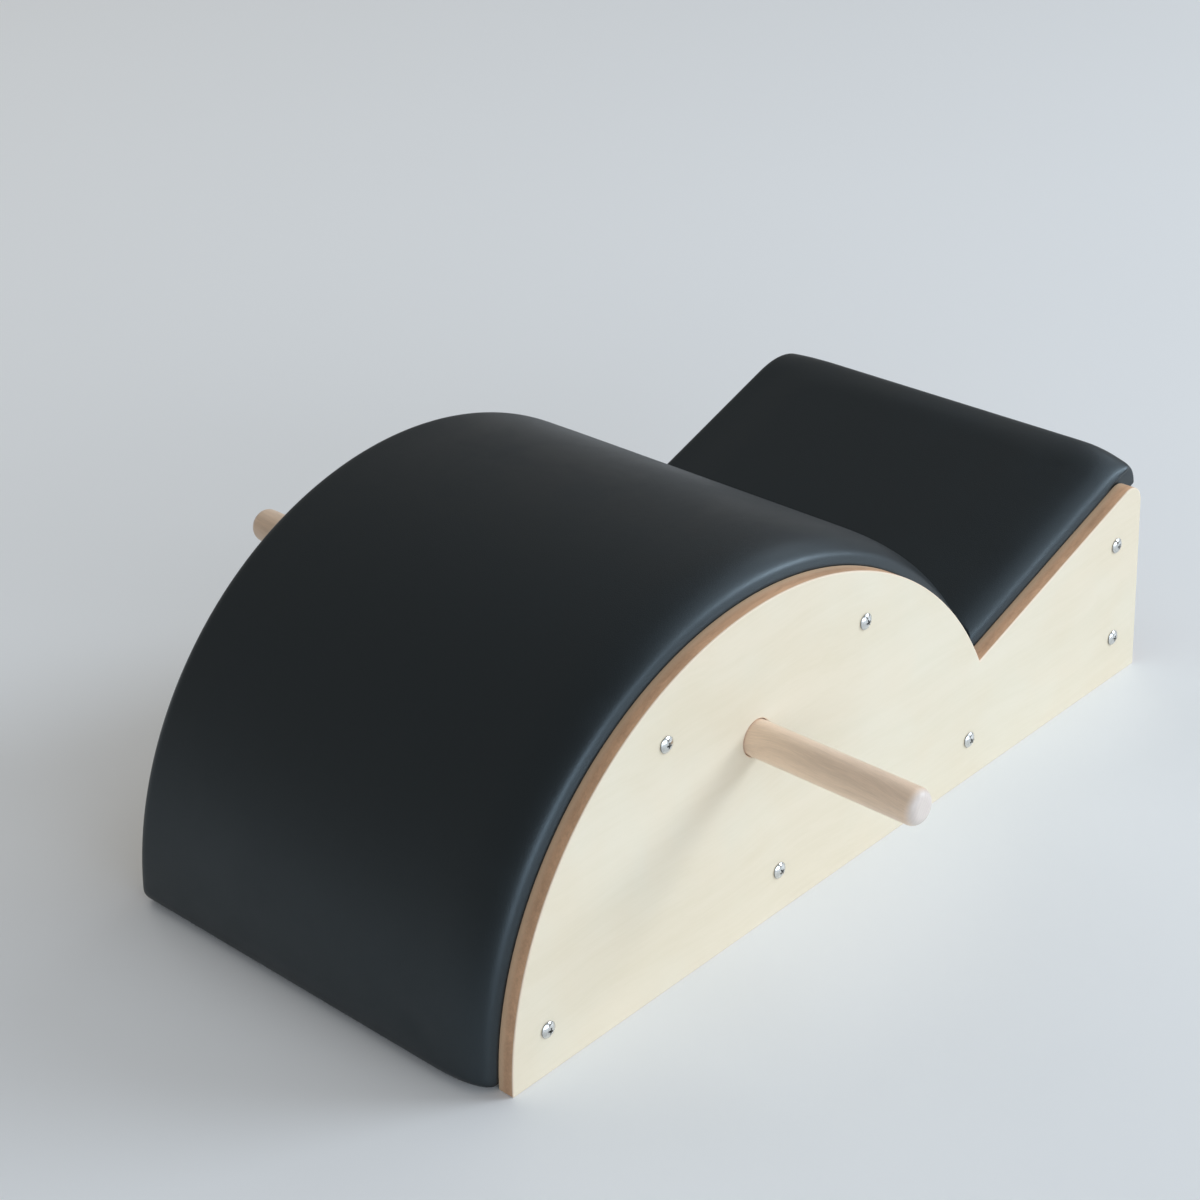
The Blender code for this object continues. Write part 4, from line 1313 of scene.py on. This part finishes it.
# How far below the dome painted shade starts, how wide it lies along the rim, and how strong it is there
PAINTED_SHADE_DEPTH = 0.0003
RIM_WIDTH = 0.0004
RIM_PAINTED_SHADE = 0.55


def cut_recess(body, top):
    """Cuts a cross recess into a screw's head, whose highest point lies at top along Y."""
    chosen = settings("screw")
    span, slot = chosen.recess_span / 2, chosen.recess_slot / 2
    guides = []
    for x, z in ((span, slot), (slot, span)):
        shape = bmesh.new()
        rings = []
        for y, share in ((top - RECESS_OVER, RECESS_MOUTH), (top + chosen.recess_depth, RECESS_FLOOR)):
            wide = x * share if x > z else x
            tall = z * share if z > x else z
            signs = ((-1, -1), (1, -1), (1, 1), (-1, 1))
            rings.append([shape.verts.new((a * wide, y, b * tall)) for a, b in signs])
        join_rings(shape, *rings)
        shape.faces.new(rings[0])
        shape.faces.new(rings[1])
        guides.append(new_piece(f"recess_{len(guides)}", mesh_from(shape, "recess")))
        cut = body.modifiers.new("recess", "BOOLEAN")
        cut.operation = "DIFFERENCE"
        cut.solver = "EXACT"
        cut.object = guides[-1]
    apply_modifiers(body)
    for guide in guides:
        bpy.data.objects.remove(guide)


def screw_model():
    """A domed screw with a cross recess, its head's underside at the origin, pointing along +Y."""
    chosen = settings("screw")
    low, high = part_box(SCREW_NODES["near"][0])
    face = PANEL_BOX["near"][0].y
    head = (high.z - low.z) / 2
    dome = face - FIT_GAP - low.y - chosen.head_rim
    curve = (head ** 2 + dome ** 2) / (2 * dome)
    shank = chosen.shank / 2
    length = high.y - face

    def dome_height(radius):
        return chosen.head_rim + dome - (curve - math.sqrt(curve ** 2 - radius ** 2))

    profile = [(shank / 4, -length), (shank, POINT_LENGTH - length), (shank, 0.0)]
    profile += [(head + wider, along) for wider, along in HEAD_FOOT]
    for i in range(DOME_STEPS):
        radius = head * math.cos(math.pi / 2 * i / DOME_STEPS)
        profile.append((radius, dome_height(radius)))
    body = new_piece("screw_model", turned_mesh("screw_model", profile, SCREW_SIDES))
    cut_recess(body, -chosen.head_rim - dome)
    # Painted shade for the steel: full in the recess, part way round the head's rim
    grime = body.data.attributes.new("grime", "FLOAT", "POINT")
    for item, vertex in zip(grime.data, body.data.vertices):
        radius = math.hypot(vertex.co.x, vertex.co.z)
        below_dome = vertex.co.y > -dome_height(min(radius, head)) + PAINTED_SHADE_DEPTH
        sunk = below_dome and radius < chosen.recess_span / 2
        item.value = 1.0 if sunk else RIM_PAINTED_SHADE if radius > head - RIM_WIDTH else 0.0
    smooth(body.data)
    return body


class Screws(bpy.types.Operator):
    """Sets a row of domed screws with cross recesses into each side panel"""
    bl_idname = "corrector.screws"
    bl_label = "Screws"

    def execute(self, context):
        chosen = settings("screw")
        look = steel_material()
        model = screw_model()
        tree = screw_row_tree()
        for side, sign in SIDES.items():
            places = []
            for node in SCREW_NODES[side]:
                low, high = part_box(node)
                face = PANEL_BOX[side][0].y - FIT_GAP if sign < 0 else PANEL_BOX[side][1].y + FIT_GAP
                places.append(((low.x + high.x) / 2, face, (low.z + high.z) / 2))
            name = "screw_row_" + side
            piece = new_piece(name, point_mesh(name, places))
            run_nodes(piece, tree, {
                "Screw": model, "Facing": 0.0 if sign < 0 else math.pi,
                "Seed": chosen.turn_seed + sign, "Material": look,
            })
            smooth(piece.data)
            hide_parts(*SCREW_NODES[side])
            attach(piece, "frame")
        bpy.data.objects.remove(model)
        return {"FINISHED"}


def dress(node, material):
    """Gives a solid that stays in the scene its material."""
    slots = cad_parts[node].data.materials
    slots.clear()
    slots.append(material)


class InnerFrame(bpy.types.Operator):
    """Bends the barrel's deck, and gives the battens, sockets and decks their bare wood"""
    bl_idname = "corrector.inner_frame"
    bl_label = "Inner Frame"

    def execute(self, context):
        pad = settings("pad")
        view = side_view()
        softwood = softwood_material()
        bent = plywood_material("bent_plywood", bent_depth(view, pad))
        sloping = plywood_material("sloping_plywood", sloping_depth(view, pad))
        for node in BATTEN_NODES + SOCKET_NODES:
            dress(node, softwood)
        dress("step_deck", sloping)
        low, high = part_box("barrel_deck")
        name = "bent_deck"
        piece = new_piece(name, point_mesh(name, [(0.0, 0.0, 0.0)]))
        run_nodes(piece, bent_board_tree(), {
            "Middle Radius": (view["deck_outer"] + view["deck_inner"]) / 2,
            "Foot Angle": math.asin((low.z + view["drop"]) / view["deck_inner"]),
            "Width": high.y - low.y, "Thickness": pad.deck, "Arc Points": DECK_ARC_POINTS,
            "Place": Vector((view["barrel_x"], 0.0, -view["drop"])), "Material": bent,
        })
        smooth(piece.data)
        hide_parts("barrel_deck")
        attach(piece, "frame")
        return {"FINISHED"}


# The sensor's width in millimetres, and how far the camera sees
SENSOR_WIDTH = 36.0
FAR_CLIP = 60.0
# Half the floor's width, and the point that the lamps face
FLOOR_SIZE = 12.0
LAMP_AIM = Vector((0.0, 0.0, 0.15))
# The angle in degrees over which most lamps spread their light, and that of the two large ones
WIDE_SPREAD = 180.0
WINDOW_SPREAD = 100.0
# The lamps' colours: daylight, daylight at the near side, and the warmer light above the far side
DAYLIGHT = (0.87, 0.98, 1.10)
NEAR_DAYLIGHT = (0.86, 0.98, 1.12)
WARM_LIGHT = (1.0, 0.98, 0.94)


def add_camera():
    """The camera at the photograph's angle, leaned by its roll."""
    chosen = settings("stage")
    azimuth, elevation, roll = chosen.camera_azimuth, chosen.camera_elevation, chosen.camera_roll
    level = math.cos(elevation)
    back = Vector((math.sin(azimuth) * level, -math.cos(azimuth) * level, math.sin(elevation)))
    right = Vector((math.cos(azimuth), math.sin(azimuth), 0.0))
    up = back.cross(right)
    leaned_right = right * math.cos(roll) + up * math.sin(roll)
    leaned_up = up * math.cos(roll) - right * math.sin(roll)
    data = bpy.data.cameras.new("photo_camera")
    data.lens = chosen.lens
    data.sensor_width = SENSOR_WIDTH
    data.clip_end = FAR_CLIP
    camera = new_piece("photo_camera", data)
    turn = Matrix((leaned_right, leaned_up, back)).transposed()
    camera.matrix_world = Matrix.Translation(chosen.camera_place) @ turn.to_4x4()
    bpy.context.scene.camera = camera


def add_floor():
    shape = bmesh.new()
    bmesh.ops.create_grid(shape, x_segments=4, y_segments=4, size=FLOOR_SIZE)
    mesh = mesh_from(shape, "plain_floor", outward=False)
    new_piece("plain_floor", mesh, floor_material())


def add_lamp(name, place, size, power, color, spread=WIDE_SPREAD, highlights=True):
    """A rectangular lamp that faces the object's middle, its light spread over an angle in degrees."""
    data = bpy.data.lights.new(name, "AREA")
    data.shape = "RECTANGLE"
    data.size, data.size_y = size
    data.energy = power
    data.spread = math.radians(spread)
    data.color = color
    lamp = new_piece(name, data)
    turn = (LAMP_AIM - Vector(place)).to_track_quat("-Z", "Y").to_matrix().to_4x4()
    lamp.matrix_world = Matrix.Translation(place) @ turn
    lamp.visible_glossy = highlights


def add_light():
    """A pale surround that lights evenly, soft windows at the right, at the near side, high above it and
    at the rear end's side, and a weak light above the far side."""
    chosen = settings("stage")
    world = bpy.data.worlds.new("plain_surround")
    bpy.context.scene.world = world
    world.use_nodes = True
    surround = world.node_tree.nodes["Background"].inputs
    surround["Color"].default_value = shade(chosen.sky_color)
    surround["Strength"].default_value = chosen.sky_strength
    add_lamp("window", (7.0, -5.7, 3.9), (4.2, 3.4), chosen.window_power, DAYLIGHT, WINDOW_SPREAD)
    add_lamp(
        "near_window", (-1.8, -7.4, 1.9), (10.0, 3.0), chosen.near_power, NEAR_DAYLIGHT, WINDOW_SPREAD)
    add_lamp("high_window", (2.6, -2.2, 4.5), (3.8, 3.2), chosen.high_power, DAYLIGHT)
    add_lamp("side_window", (6.0, 0.3, 4.2), (4.0, 3.0), chosen.side_power, DAYLIGHT)
    add_lamp("top", (0.3, 3.8, 3.6), (3.0, 3.0), chosen.top_power, WARM_LIGHT, highlights=False)


class Stage(bpy.types.Operator):
    """Sets the camera, the soft daylight, the plain floor and the view's colour transform"""
    bl_idname = "corrector.stage"
    bl_label = "Stage"

    def execute(self, context):
        add_camera()
        add_floor()
        add_light()
        context.scene.view_settings.view_transform = "Standard"
        return {"FINISHED"}


OPERATORS = [SidePanels, BarrelPad, StepPad, Handles, Screws, InnerFrame, Stage]


class CorrectorPanel(bpy.types.Panel):
    """Lists the steps and sizes in the 3D view's sidebar"""
    bl_idname = "VIEW3D_PT_corrector"
    bl_label = "Spine Corrector"
    bl_space_type = "VIEW_3D"
    bl_region_type = "UI"
    bl_category = "Spine Corrector"

    def draw(self, context):
        for operator in OPERATORS:
            self.layout.operator(operator.bl_idname)
        for name, group in GROUPS.items():
            box = self.layout.box()
            box.label(text=name.capitalize())
            for key in group.__annotations__:
                box.prop(settings(name), key)


CLASSES = [*GROUPS.values(), *OPERATORS, CorrectorPanel]


def register():
    for item in CLASSES:
        bpy.utils.register_class(item)
    for name, group in GROUPS.items():
        setattr(bpy.types.Scene, "corrector_" + name, PointerProperty(type=group))


def unregister():
    for name in GROUPS:
        delattr(bpy.types.Scene, "corrector_" + name)
    for item in reversed(CLASSES):
        bpy.utils.unregister_class(item)


def call(operator):
    """Runs an operator by its bl_idname."""
    family, step = operator.bl_idname.split(".")
    getattr(getattr(bpy.ops, family), step)()


def main():
    register()
    figure_group()
    handling_group()
    for operator in OPERATORS:
        call(operator)


if __name__ == "__main__":
    main()
